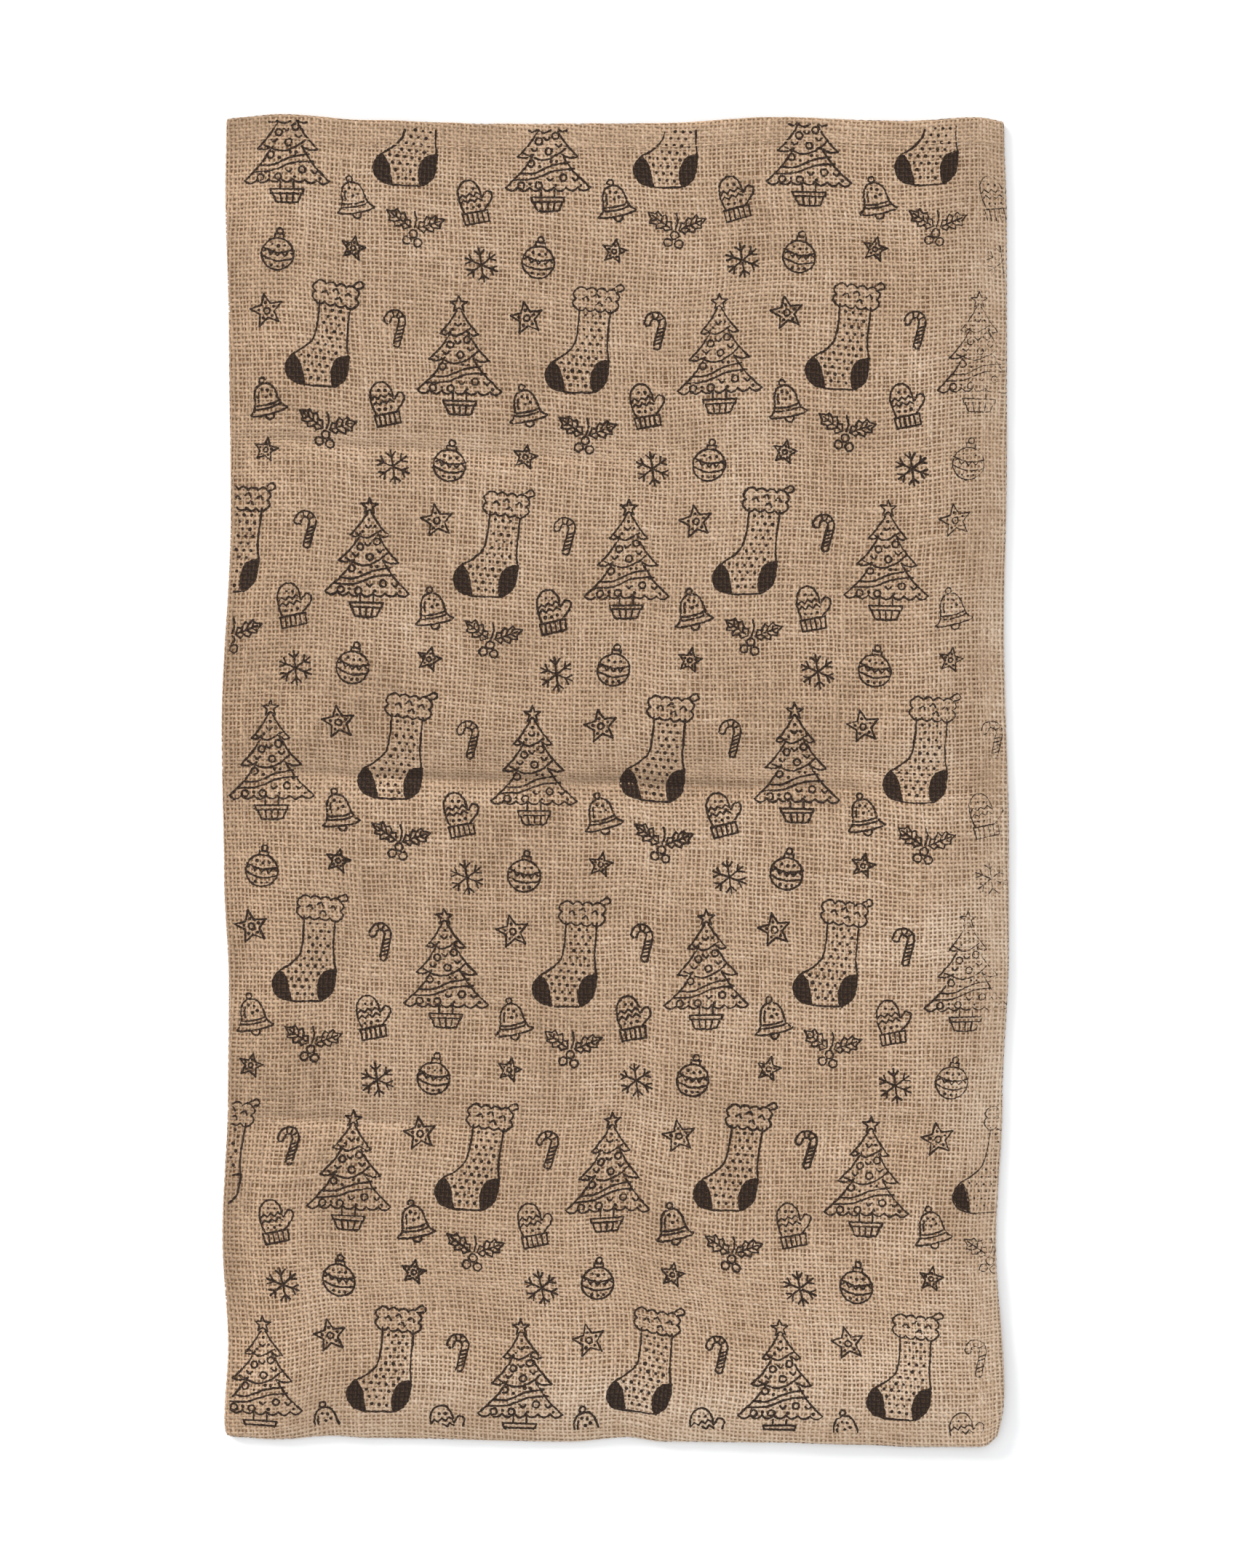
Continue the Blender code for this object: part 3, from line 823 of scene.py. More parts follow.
def draw_bauble():
    """A glass bauble with a cap, two bands and a zigzag between them."""
    strokes = [arc(0, -3, 13, steps=20), arc(0, 15.4, 2.4)]
    strokes.append(line((-3.6, 9.6), (-3.6, 13), (3.6, 13), (3.6, 9.6)))
    strokes += [curve([(-12.6, y), (0, y - 3.4), (12.6, y)]) for y in (1.5, -5.5)]
    zigzag = ((x, -4.6 + 3.4 * (i % 2) + 0.022 * x * x) for i, x in enumerate(np.linspace(-11.5, 11.5, 9)))
    strokes.append(line(*zigzag))
    return Drawing(strokes, dots((-5, 4.4), (0, 3.4), (5, 4.4), (-4, -12.4), (1, -12.8), (5.4, -11.8)), [])


def draw_snowflake():
    """Six arms, each with two short branches."""
    strokes = []
    for turn in range(30, 390, 60):
        strokes.append(turned(line((0.5, 0), (13, 0)), turn))
        strokes.append(turned(line((11.2, -3.6), (7.5, 0), (11.2, 3.6)), turn))
    return Drawing(strokes, [], [])


def leaf(x, y, turn):
    """A holly leaf from its stalk, with three spines a side, a mid rib and its veins."""
    edge = [(0, 0), (3.5, 4.6), (6, 3.0), (10.5, 6.6), (12.5, 3.8), (17, 5.6), (18, 2.6), (23, 0)]
    lines = [edge + [(a, -b) for a, b in edge[-2:0:-1]] + [(0, 0)], [(2, 0), (19, 0)]]
    lines += [[(a + 2.4, 3.0), (a, 0), (a + 2.4, -3.0)] for a in (5, 9.5, 14)]
    return [turned(line(*points), turn) + (x, y) for points in lines]


def draw_holly():
    """Two holly leaves and three berries."""
    strokes = leaf(3, 1, 28) + leaf(-3, 1, 152)
    strokes += [arc(x, y, 3.3, steps=10) for x, y in [(0, -4), (-4.6, -10), (4.2, -10.6)]]
    strokes.append(curve([(0, 1), (1, 8), (-1, 14)]))
    return Drawing(strokes, [], [])


def draw_star():
    """A five-pointed star with a ring in it and a spot in each point."""
    spots = dots(*arc(0, 0, 6.4, 90, 378, 4))
    return Drawing([star_points(0, 0, 13.5, 6.2), arc(0, 0, 2.6, steps=8)], spots, [])


def draw_cane():
    """A striped candy cane."""
    strokes = [line((x, -12.5), (x, 4.5)) for x in (1.6, 6.6)]
    strokes += [arc(-1.6, 4.5, 8.2, 0, 180, 10), arc(-1.6, 4.5, 3.2, 0, 180, 7)]
    strokes.append(curve([(-9.8, 4.5), (-9.4, 2.0), (-7.3, 0.8), (-5.2, 2.0), (-4.8, 4.5)]))
    strokes.append(curve([(1.6, -12.5), (2.2, -14.2), (4.1, -15), (6, -14.2), (6.6, -12.5)]))
    strokes += [line((1.6, y), (6.6, y + 3)) for y in (-12, -9, -6, -3, 0)]
    stripes = [((0.4, 6.5), (3.9, 9.8)), ((-3.5, 7.4), (-5.2, 11.8)), ((-1.0, 7.6), (-0.2, 12.6))]
    strokes += [line(*ends) for ends in stripes]
    return Drawing(strokes, [], [])


MOTIFS = {
    "fir": draw_fir,
    "stocking": draw_stocking,
    "bell": draw_bell,
    "mitten": draw_mitten,
    "bauble": draw_bauble,
    "snowflake": draw_snowflake,
    "holly": draw_holly,
    "star": draw_star,
    "cane": draw_cane,
}


def laid_out(points, place, x, y, rng):
    """A line of a motif as printed, in metres as the sack lies, and which points lie in the print's field."""
    wobble = rng.normal(0, HAND, points.shape) * (len(points) > 2)
    wobble[-1] = wobble[0]
    at_x, at_y = (turned(points + wobble, place.turn) * place.size + (x, y)).T
    inside = (at_x > PRINT_LEFT) & (at_x < PRINT_RIGHT) & (at_y > PRINT_FOOT) & (at_y < PRINT_MOUTH)
    return np.stack(plan(at_x * MM, at_y * MM), axis=-1) - MIDDLE, inside


# A motif where it is printed: its strokes' starts, runs and radii, its solids, and two corners of its box
Printed = namedtuple("Printed", "starts runs radii solids low high")


def printed_motif(drawing, place, x, y, rng):
    """One motif where it is printed, or None where too little of it lies in the print's field."""
    sizes = cloth_sizes()
    starts, runs, radii = [], [], []
    for lines, width in ((drawing.strokes, sizes.line), (drawing.spots, sizes.spot)):
        for points in lines:
            at, inside = laid_out(points, place, x, y, rng)
            run = np.diff(at, axis=0)
            both = inside[:-1] & inside[1:] & (np.abs(run).max(axis=1) > 1e-6)
            starts.append(at[:-1][both])
            runs.append(run[both])
            radii.append(width / 2 * rng.normal(1, LINE_VARIES, both.sum()))
    drawn = sum(len(points) - 1 for points in drawing.strokes + drawing.spots)
    starts, runs, radii = np.concatenate(starts), np.concatenate(runs), np.concatenate(radii)
    if len(starts) < LEAST_SHARE * drawn:
        return None
    solids = [laid_out(outline, place, x, y, rng) for outline in drawing.solids]
    solids = [at for at, inside in solids if inside.all()]
    ends = np.concatenate([starts, starts + runs])
    reach = sizes.line + 2 * MM
    return Printed(starts, runs, radii, solids, ends.min(0) - reach, ends.max(0) + reach)


def printed_motifs():
    """Every motif of the print where it lies on the sack."""
    rng = np.random.default_rng(cloth_sizes().seed + 2)
    drawings = {name: draw() for name, draw in MOTIFS.items()}
    found = []
    for row, column, place in itertools.product(range(-5, 6), range(-5, 6), REPEAT):
        x = REPEAT_START[0] + column * REPEAT_WIDTH + row * ROW_SHIFT + place.x
        y = REPEAT_START[1] + row * REPEAT_HEIGHT + place.y
        if abs(x) <= EDGE_OF_FIELD[0] and abs(y) <= EDGE_OF_FIELD[1]:
            found.append(printed_motif(drawings[place.motif], place, x, y, rng))
    return [motif for motif in found if motif]


def away_from(points, starts, runs):
    """The way to each of some points from the nearest place on each of some strokes."""
    from_start = points[:, None] - starts
    share = (from_start * runs).sum(-1) / np.maximum((runs**2).sum(-1), 1e-12)
    return from_start - np.clip(share, 0, 1)[..., None] * runs


def solid_edges(centres, outline):
    """For some faces' middles: whether they are inside an outline, how far off its edge is, and the half
    plane that its edge bounds there, as x and y of its way out and its distance from the origin."""
    to_edge = away_from(centres, outline[:-1], np.diff(outline, axis=0))
    distance = np.linalg.norm(to_edge, axis=-1)
    nearest = np.arange(len(centres)), distance.argmin(axis=1)
    away, distance = to_edge[nearest], distance[nearest]
    inside = inside_outline(outline, *centres.T)
    out = away / np.maximum(distance, 1e-9)[:, None] * np.where(inside, -1, 1)[:, None]
    return inside, distance, np.column_stack([out, (out * (centres - away)).sum(-1)])


def print_on(mesh, motifs, front_only=False):
    """Tells each face of a piece which strokes of the print run over it, and which solid patch it lies in.
    front_only leaves out the faces that look sideways or down, or that lie inside the sack."""
    count = len(mesh.polygons)
    centres = np.empty(count * 3, np.float32)
    mesh.polygons.foreach_get("center", centres)
    centres = centres.reshape(-1, 3)[:, :2].astype(float)
    if front_only:
        normals = np.empty(count * 3, np.float32)
        mesh.polygons.foreach_get("normal", normals)
        inside = np.empty(count, np.int32)
        mesh.polygons.foreach_get("material_index", inside)
        centres[(normals.reshape(-1, 3)[:, 2] < LOOKS_UP) | (inside > 0)] = FAR_AWAY
    start = np.full((STROKES_A_FACE, count, 3), FAR_AWAY)
    run = np.full((STROKES_A_FACE, count, 3), (1e-5, 0.0, 0.0))
    edge = np.tile([1.0, 0.0, -FAR_AWAY], (count, 1))
    best = np.full((STROKES_A_FACE, count), STROKE_REACH)
    for motif in motifs:
        near = np.nonzero(((centres > motif.low) & (centres < motif.high)).all(axis=1))[0]
        if not len(near):
            continue
        off = np.linalg.norm(away_from(centres[near], motif.starts, motif.runs), axis=-1) - motif.radii
        picked = np.argsort(off, axis=1)[:, :STROKES_A_FACE]
        for slot in range(min(STROKES_A_FACE, picked.shape[1])):
            stroke = picked[:, slot]
            distance = off[np.arange(len(near)), stroke]
            closer = distance < best[slot, near]
            face, stroke = near[closer], stroke[closer]
            best[slot, face] = distance[closer]
            start[slot, face] = np.column_stack([motif.starts[stroke], motif.radii[stroke]])
            run[slot, face, :2] = motif.runs[stroke]
        for outline in motif.solids:
            inside, distance, half_plane = solid_edges(centres[near], outline)
            close = inside | (distance < SOLID_REACH)
            edge[near[close]] = half_plane[close]
            edge[near[inside & (distance > SOLID_REACH)]] = (1.0, 0.0, FAR_AWAY)
    for slot in range(STROKES_A_FACE):
        add_values(mesh, f"stroke_{slot + 1}_start", start[slot], "FACE")
        add_values(mesh, f"stroke_{slot + 1}_run", run[slot], "FACE")
    add_values(mesh, "solid_edge", edge, "FACE")


# ---------------------------------------------------------------- materials


def add_node(tree, kind, inputs=None, stops=(), **settings):
    """Adds a node, with its settings, its ramp's stops as (place, linear colour), and its inputs by name or
    number, as values or as what they are linked to: a socket, or a node for its first output."""
    made = tree.nodes.new("ShaderNode" + kind)
    for name, value in settings.items():
        setattr(made, name, value)
    for number, (place, colour) in enumerate(stops):
        elements = made.color_ramp.elements
        element = elements[number] if number < 2 else elements.new(place)
        element.position, element.color = place, (*colour, 1)
    for socket, value in (inputs or {}).items():
        if isinstance(value, bpy.types.Node):
            value = value.outputs[0]
        if isinstance(value, bpy.types.NodeSocket):
            tree.links.new(value, made.inputs[socket])
        else:
            made.inputs[socket].default_value = value
    return made


def new_material(name, look, **choices):
    """A material of that name. look gets the function that adds a node, and returns the shader's inputs."""
    material = bpy.data.materials.new(name)
    material.use_nodes = True
    material.node_tree.nodes.clear()
    node = partial(add_node, material.node_tree)
    node("OutputMaterial", {0: node("BsdfPrincipled", look(node, **choices))})
    return material


def ink_cover(node):
    """How much of the print's ink lies here, from 0 to 1: on the nearest strokes and in solid patches, with
    the ragged edges that a screen leaves on coarse yarn, and worn away towards the right side."""
    place = node("TexCoord").outputs["Object"]
    flat = node("VectorMath", {0: place, 1: (1, 1, 0)}, operation="MULTIPLY")
    grain = node("TexNoise", {"Vector": place, "Scale": 1 / INK_GRAIN, "Detail": 3.0})
    patch = node("TexNoise", {"Vector": place, "Scale": 1 / INK_PATCH, "Detail": 2.0})
    ragged = node("MapRange", {0: grain, 1: 0.25, 2: 0.75, 3: -INK_RAGGED, 4: INK_RAGGED}, clamp=False)
    uneven = node("MapRange", {0: patch, 1: 0.3, 2: 0.7, 3: INK_THIN, 4: -INK_FULL})
    x = node("SeparateXYZ", {0: place})
    worn = node("MapRange", {0: x, 1: WEAR_BEGINS, 2: WEAR_ENDS, 3: 0.0, 4: WEAR})
    roughened = node("Math", {0: ragged, 1: uneven}, operation="ADD")
    roughened = node("Math", {0: roughened, 1: worn}, operation="ADD")

    # How far the nearest stroke's edge or the solid patch's edge is
    edge = node("Attribute", attribute_name="solid_edge").outputs["Vector"]
    limit = node("SeparateXYZ", {0: edge}).outputs[2]
    past = node("VectorMath", {0: flat, 1: edge}, operation="DOT_PRODUCT").outputs["Value"]
    nearest = node("Math", {0: past, 1: limit}, operation="SUBTRACT")
    for number in range(1, STROKES_A_FACE + 1):
        start = node("Attribute", attribute_name=f"stroke_{number}_start").outputs["Vector"]
        run = node("Attribute", attribute_name=f"stroke_{number}_run").outputs["Vector"]
        radius = node("SeparateXYZ", {0: start}).outputs[2]
        away = node("VectorMath", {0: place, 1: start}, operation="SUBTRACT")
        away = node("VectorMath", {0: away, 1: (1, 1, 0)}, operation="MULTIPLY")
        along = node("VectorMath", {0: away, 1: run}, operation="DOT_PRODUCT").outputs["Value"]
        whole = node("VectorMath", {0: run, 1: run}, operation="DOT_PRODUCT").outputs["Value"]
        share = node("Math", {0: along, 1: whole}, operation="DIVIDE", use_clamp=True)
        foot = node("VectorMath", {0: run, "Scale": share}, operation="SCALE")
        off = node("VectorMath", {0: away, 1: foot}, operation="DISTANCE").outputs["Value"]
        off = node("Math", {0: off, 1: radius}, operation="SUBTRACT")
        nearest = node("Math", {0: nearest, 1: off}, operation="MINIMUM")

    outside = node("Math", {0: nearest, 1: roughened}, operation="ADD")
    limits = {0: outside, 1: -INK_SOFT, 2: INK_SOFT, 3: 1.0, 4: 0.0}
    return node("MapRange", limits, interpolation_type="SMOOTHSTEP")


def jute_yarn(node, printed):
    """Raw jute yarn, spun coarse and woven unbleached. The eye sees matt tan fibres that twist round it, and
    a tone of its own for each yarn and each stretch of it, with painted shade on its flanks beside the gaps.
    A printed yarn has dull black ink on its crown."""
    sizes = cloth_sizes()
    yarn = node("Attribute", attribute_name="yarn").outputs["Vector"]
    depth, across, tone = node("SeparateXYZ", {0: yarn}).outputs
    along = node("Attribute", attribute_name="length").outputs["Fac"]

    # Fibres: fine streaks along the yarn, slanted by its twist of one turn in 6 mm
    slant = node("Math", {0: across, 1: TWIST, 2: along}, operation="MULTIPLY_ADD")
    wrapped = node("Math", {0: across, 1: 1.0 * MM}, operation="MULTIPLY")
    fibre_place = node("CombineXYZ", {0: slant, 1: wrapped, 2: tone})
    fibre_place = node("VectorMath", {0: fibre_place, 1: FIBRE_SCALES}, operation="MULTIPLY")
    fibre = node("TexNoise", {"Vector": fibre_place, "Scale": 1.0, "Detail": 2.0, "Roughness": 0.6})

    # The tone of the yarn here, with the patches' painted shade and highlights, then of its fibres, then of
    # the cloth about it
    place = node("TexCoord").outputs["Object"]
    clouds = node("TexNoise", {"Vector": place, "Scale": 1 / CLOUDS, "Detail": 3.0})
    toned = node("Math", {0: tone, 1: TONE_OF_YARN, 2: 0.5}, operation="MULTIPLY_ADD")
    for noise, weight in ((fibre, TONE_OF_FIBRES), (clouds, TONE_OF_CLOUDS)):
        centred = node("Math", {0: noise, 1: 0.5}, operation="SUBTRACT")
        toned = node("Math", {0: centred, 1: weight, 2: toned}, operation="MULTIPLY_ADD")
    tones = [(0.12, sizes.jute_dark), (0.92, sizes.jute_light), (0.5, sizes.jute)]
    colour = node("ValToRGB", {0: toned}, stops=tones)

    # Painted shade: the yarn's flanks, where it rounds down beside the gaps, take the shaded jute colour.
    flank = node("Math", {0: across, 1: 2.0}, operation="POWER")
    from_middle = node("Math", {0: depth, 1: 2.0, 2: -1.0}, operation="MULTIPLY_ADD")
    from_middle = node("Math", {0: from_middle}, operation="ABSOLUTE")
    beside_gap = node("MapRange", {0: from_middle, 1: 0.85, 2: 0.35, 3: 0.05, 4: 0.9})
    shade = node("MapRange", {0: flank, 1: 0.04, 2: 0.75, 3: 0.0, 4: 1.0})
    shade = node("Math", {0: shade, 1: beside_gap}, operation="MULTIPLY")
    colour = node("Mix", {0: shade, 6: colour, 7: (*sizes.jute_shade, 1)}, data_type="RGBA").outputs[2]

    roughness = 0.93
    if printed:
        thin = node("MapRange", {0: shade, 1: 0.1, 2: 0.9, 3: 0.99, 4: 0.82})
        cover = node("Math", {0: ink_cover(node), 1: thin}, operation="MULTIPLY")
        ink = node("ValToRGB", {0: fibre}, stops=[(0.3, sizes.ink), (0.75, sizes.ink_worn)])
        colour = node("Mix", {0: cover, 6: colour, 7: ink}, data_type="RGBA").outputs[2]
        roughness = node("MapRange", {0: cover, 3: roughness, 4: 0.85})
    return {
        "Base Color": colour,
        "Roughness": roughness,
        "Specular IOR Level": 0.18,
        "Normal": node("Bump", {"Height": fibre, "Distance": 0.25 * MM, "Strength": 0.5}),
        "Sheen Weight": 0.03,
        "Sheen Roughness": 0.6,
        "Sheen Tint": (*sizes.jute_light, 1),
    }


def gap_shade_ground(node):
    """What shows between the yarns: painted shade, dark brown, for the cloth's depth in shadow, and lighter
    where a hem or a seam allowance lies close behind."""
    sizes = cloth_sizes()
    place = node("TexCoord").outputs["Object"]
    cloth = node("Attribute", attribute_name="cloth").outputs["Vector"]
    behind = node("SeparateXYZ", {0: cloth}).outputs[2]
    mottle = node("TexNoise", {"Vector": place, "Scale": 1 / (4 * MM), "Detail": 3.0, "Roughness": 0.6})
    deep = node("ValToRGB", {0: mottle}, stops=[(0.3, sizes.gap_shade_dark), (0.7, sizes.gap_shade_light)])
    backed = node("ValToRGB", {0: mottle}, stops=[(0.3, sizes.gap_shade_light), (0.7, sizes.jute)])
    colour = node("Mix", {0: behind, 6: deep, 7: backed}, data_type="RGBA").outputs[2]
    cover = node("Math", {0: ink_cover(node), 1: 0.8}, operation="MULTIPLY")
    colour = node("Mix", {0: cover, 6: colour, 7: (*sizes.ink, 1)}, data_type="RGBA").outputs[2]
    bump = node("Bump", {"Height": mottle, "Distance": 0.5 * MM, "Strength": 0.6})
    return {"Base Color": colour, "Roughness": 1.0, "Specular IOR Level": 0.1, "Normal": bump}


def woven_inside(node):
    """The inner face of the burlap: plain weave, matt and a little darker than the outside, with painted
    shade between the yarns' crowns.
    """
    sizes = cloth_sizes()
    cloth = node("Attribute", attribute_name="cloth").outputs["Vector"]
    counted = node("VectorMath", {0: cloth, "Scale": 1 / sizes.pitch}, operation="SCALE")
    shares = node("SeparateXYZ", {0: node("VectorMath", {0: counted}, operation="FRACTION")})
    cell = node("SeparateXYZ", {0: node("VectorMath", {0: counted}, operation="FLOOR")})
    crowns = []
    for share in shares.outputs[:2]:
        off = node("Math", {0: share, 1: 0.5}, operation="SUBTRACT")
        off = node("Math", {0: off, 1: off}, operation="MULTIPLY")
        crowns.append(node("MapRange", {0: off, 1: 0.0, 2: 0.11, 3: 1.0, 4: 0.0}))
    odd = node("Math", {0: cell.outputs[0], 1: cell.outputs[1]}, operation="ADD")
    odd = node("Math", {0: odd, 1: 2.0}, operation="MODULO")
    odd = node("Math", {0: odd}, operation="ABSOLUTE")
    under = node("Mix", {0: odd, 2: crowns[0], 3: crowns[1]})
    over = node("Mix", {0: odd, 2: crowns[1], 3: crowns[0]})
    under = node("Math", {0: under, 1: 0.6}, operation="MULTIPLY")
    height = node("Math", {0: under, 1: over}, operation="MAXIMUM")
    # Painted shade: the low places between the crowns take the dark gap colour and the shaded jute.
    tones = [(0.15, sizes.gap_shade_dark), (0.8, sizes.jute), (0.4, sizes.jute_shade)]
    colour = node("ValToRGB", {0: height}, stops=tones)
    bump = node("Bump", {"Height": height, "Distance": 0.6 * MM, "Strength": 0.8})
    return {"Base Color": colour, "Roughness": 0.95, "Specular IOR Level": 0.2, "Normal": bump}


def spun_thread(node):
    """Twisted jute sewing thread, waxed a little: paler than the cloth, with slanting strands."""
    sizes = cloth_sizes()
    place = node("TexCoord").outputs["Object"]
    strands = node("TexNoise", {"Vector": place, "Scale": 1 / (0.9 * MM), "Detail": 3.0})
    colour = node("ValToRGB", {0: strands}, stops=[(0.3, sizes.jute), (0.7, sizes.thread)])
    bump = node("Bump", {"Height": strands, "Distance": 0.2 * MM, "Strength": 0.5})
    return {"Base Color": colour, "Roughness": 0.8, "Specular IOR Level": 0.3, "Normal": bump}


def paper_sweep(node):
    """A matt white paper sweep: even, bright and without grain."""
    return {"Base Color": (*linear("FAFAFA"), 1), "Roughness": 0.9, "Specular IOR Level": 0.1}


# ---------------------------------------------------------------- pieces


def finish_piece(piece, slot, *materials):
    """Gives a piece its materials and its body; slot is not used."""
    for material in materials:
        piece.data.materials.append(material)
    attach(piece, "root")
    return piece


def spread(start, end, step):
    """Evenly spaced stations from start to end, at most a step apart."""
    count = max(math.ceil(abs(end - start) / step), 1)
    return start + (end - start) * np.arange(count + 1) / count


def ground_side(front):
    """The ground's sheet on one side of the sack, as points, cloth places, corners and inner faces: from the
    foot up under the yarns, over the rim, down inside the hem and back along the inner face to the foot."""
    outer, inner = -cloth_sizes().ground_depth, -CLOTH - INNER_GAP
    quarter = spread(0, QUARTER * FOLD, FOLD_STEP)
    near, far = spread(0, NEAR_EDGE, NEAR_STEP), spread(NEAR_EDGE, WIDTH / 2, FAR_STEP)
    half_columns = np.concatenate([-quarter[::-1], near[1:], far[1:]])
    columns = SIDE_FLAT - half_columns[half_columns < SIDE_FLAT - 1 * MM]
    columns = np.concatenate([-columns, [0.0], columns[::-1]])
    round_foot = [-END_FLAT - quarter[::-1], -END_FLAT + near[1:]]
    up = spread(-END_FLAT + NEAR_EDGE, RIM_FLAT, FAR_STEP)[1:]
    over = spread(RIM_FLAT, RIM_FLAT + math.pi * RIM, RIM_STEP)[1:]
    inside_hem = spread(over[-1], HEM_END, HEM_STEP)[1:]
    hem_foot = RIM_FLAT - (HEM_END - RIM_FLAT - math.pi * RIM) - HEM_GAP
    rows = np.concatenate([*round_foot, up, over, inside_hem])
    outside = len(rows)
    rows = np.concatenate([rows, spread(hem_foot, -END_FLAT, INNER_STEP), -END_FLAT - quarter[1:]])
    u, v = np.meshgrid(columns, rows, indexing="ij")
    points = surface(front, u, v, np.where(np.arange(len(rows)) < outside, outer, inner))
    values = np.stack([u, v, layers(u, v)], axis=-1)
    corners = grid_corners(np.arange(u.size).reshape(u.shape))
    inner_faces = np.broadcast_to(np.arange(len(rows) - 1) >= outside - 1, corners.shape[:2])
    if not front:
        corners = corners[..., ::-1]
    return points.reshape(-1, 3), values.reshape(-1, 3), corners.reshape(-1, 4), inner_faces.reshape(-1)


def make_ground():
    """The ground as one closed sheet: both sides, joined round the folds."""
    front, back = ground_side(True), ground_side(False)
    points, values, corners, inner = (np.concatenate(pair) for pair in zip(front, back))
    corners[len(front[2]) :] += len(front[0])
    mesh = mesh_from_arrays("burlap_ground", points, corners)
    mesh.polygons.foreach_set("material_index", inner.astype(np.int32))
    add_values(mesh, "cloth", values)
    bm = bmesh.new()
    bm.from_mesh(mesh)
    bmesh.ops.remove_doubles(bm, verts=bm.verts, dist=JOIN)
    bmesh.ops.recalc_face_normals(bm, faces=bm.faces)
    bm.to_mesh(mesh)
    bm.free()
    mesh.shade_smooth()
    print_on(mesh, printed_motifs(), front_only=True)
    return new_object("burlap_ground", mesh)


def thread_mesh(name, paths):
    """Short threads as one mesh: each path of points is drawn as a tube that tapers into its ends."""
    bm = bmesh.new()
    sides = THREAD_SIDES
    for path in paths:
        rings = []
        for i, point in enumerate(path):
            before, after = path[max(i - 1, 0)], path[min(i + 1, len(path) - 1)]
            way = Vector(after - before).normalized()
            side = way.cross(Vector((0.13, 0.21, 1.0))).normalized()
            up = side.cross(way)
            size = THREAD_RADIUS * (0.35 if i in (0, len(path) - 1) else 1.0)
            ring = []
            for k in range(sides):
                angle = 2 * math.pi * k / sides
                off = (side * math.cos(angle) + up * math.sin(angle)) * size
                ring.append(bm.verts.new(Vector(point) + off))
            rings.append(ring)
        for low, high in zip(rings, rings[1:]):
            for k in range(sides):
                bm.faces.new([low[k], low[(k + 1) % sides], high[(k + 1) % sides], high[k]])
        bm.faces.new(rings[0][::-1])
        bm.faces.new(rings[-1])
    bmesh.ops.recalc_face_normals(bm, faces=bm.faces)
    mesh = bpy.data.meshes.new(name)
    bm.to_mesh(mesh)
    bm.free()
    mesh.shade_smooth()
    return new_object(name, mesh)


def fibre_mesh(name):
    """Short fibres that stand off the front's yarns, as thin bowed ribbons in one mesh."""
    rng = np.random.default_rng(FIBRE_SEED)
    count, rows = FIBRES, FIBRE_POINTS
    t = np.linspace(0, 1, rows)[None]

    def each(low, high):
        return rng.uniform(low, high, count)[:, None]

    u = each(-SIDE_END, SIDE_END)
    v = each(-FOOT_END, LENGTH / 2)
    length = each(*FIBRE_LENGTH) * MM
    turn = rng.integers(0, 4, count)[:, None] * QUARTER + rng.normal(0, 0.45, count)[:, None]
    way = turn + rng.normal(0, 0.7, count)[:, None] * t
    along_u = u + np.cumsum(np.cos(way), axis=1) * length / rows
    along_v = v + np.cumsum(np.sin(way), axis=1) * length / rows
    along_v = np.clip(along_v, -FOOT_END, HEM_END)
    lift = each(*FIBRE_LIFT) * MM * np.sin(math.pi * t) - FIBRE_SUNK
    half = each(*FIBRE_HALF) * MM * (1 - 0.6 * t)
    off_u, off_v = -np.sin(way) * half, np.cos(way) * half
    sides = [surface(True, along_u + k * off_u, along_v + k * off_v, lift) for k in (-1, 1)]
    index = np.arange(count * rows * 2).reshape(count, rows, 2)
    corners = np.stack([index[:, :-1, 0], index[:, :-1, 1], index[:, 1:, 1], index[:, 1:, 0]], axis=-1)
    mesh = mesh_from_arrays(name, np.stack(sides, axis=2).reshape(-1, 3), corners.reshape(-1, 4))
    tone = np.repeat(rng.normal(0.8, 0.8, count), rows * 2)
    add_values(mesh, "yarn", np.stack([0 * tone, 0 * tone, tone], axis=-1))
    mesh.attributes.new("length", "FLOAT", "POINT")
    return new_object(name, mesh)


def stitch_paths(front, lift, rng):
    """The hem's running stitches on one side of the sack, each bowed up by lift."""
    paths = []
    whole = 2 * (SIDE_FLAT - STITCH_MARGIN)
    distance = 0.0
    while distance + STITCH < whole:
        along = distance + STITCH * np.linspace(0, 1, 5) * rng.uniform(0.92, 1.04)
        v = np.full_like(along, LENGTH / 2 - HEM + HEM_MARGIN) + rng.normal(0, 0.15 * MM)
        bow = lift * np.sin(np.linspace(0, math.pi, 5)) - STITCH_SUNK
        paths.append(surface(front, along - whole / 2, v, bow))
        distance += STITCH + STITCH_GAP
    return paths


# ---------------------------------------------------------------- properties


def length_setting(name, description, default):
    """A length that a user can change."""
    return bpy.props.FloatProperty(
        name=name, description=description, default=default, precision=5, unit="LENGTH"
    )


def colour_setting(name, description, hex_colour):
    """A colour that a user can change, written as sRGB hex."""
    return bpy.props.FloatVectorProperty(
        name=name, description=description, default=linear(hex_colour), subtype="COLOR"
    )


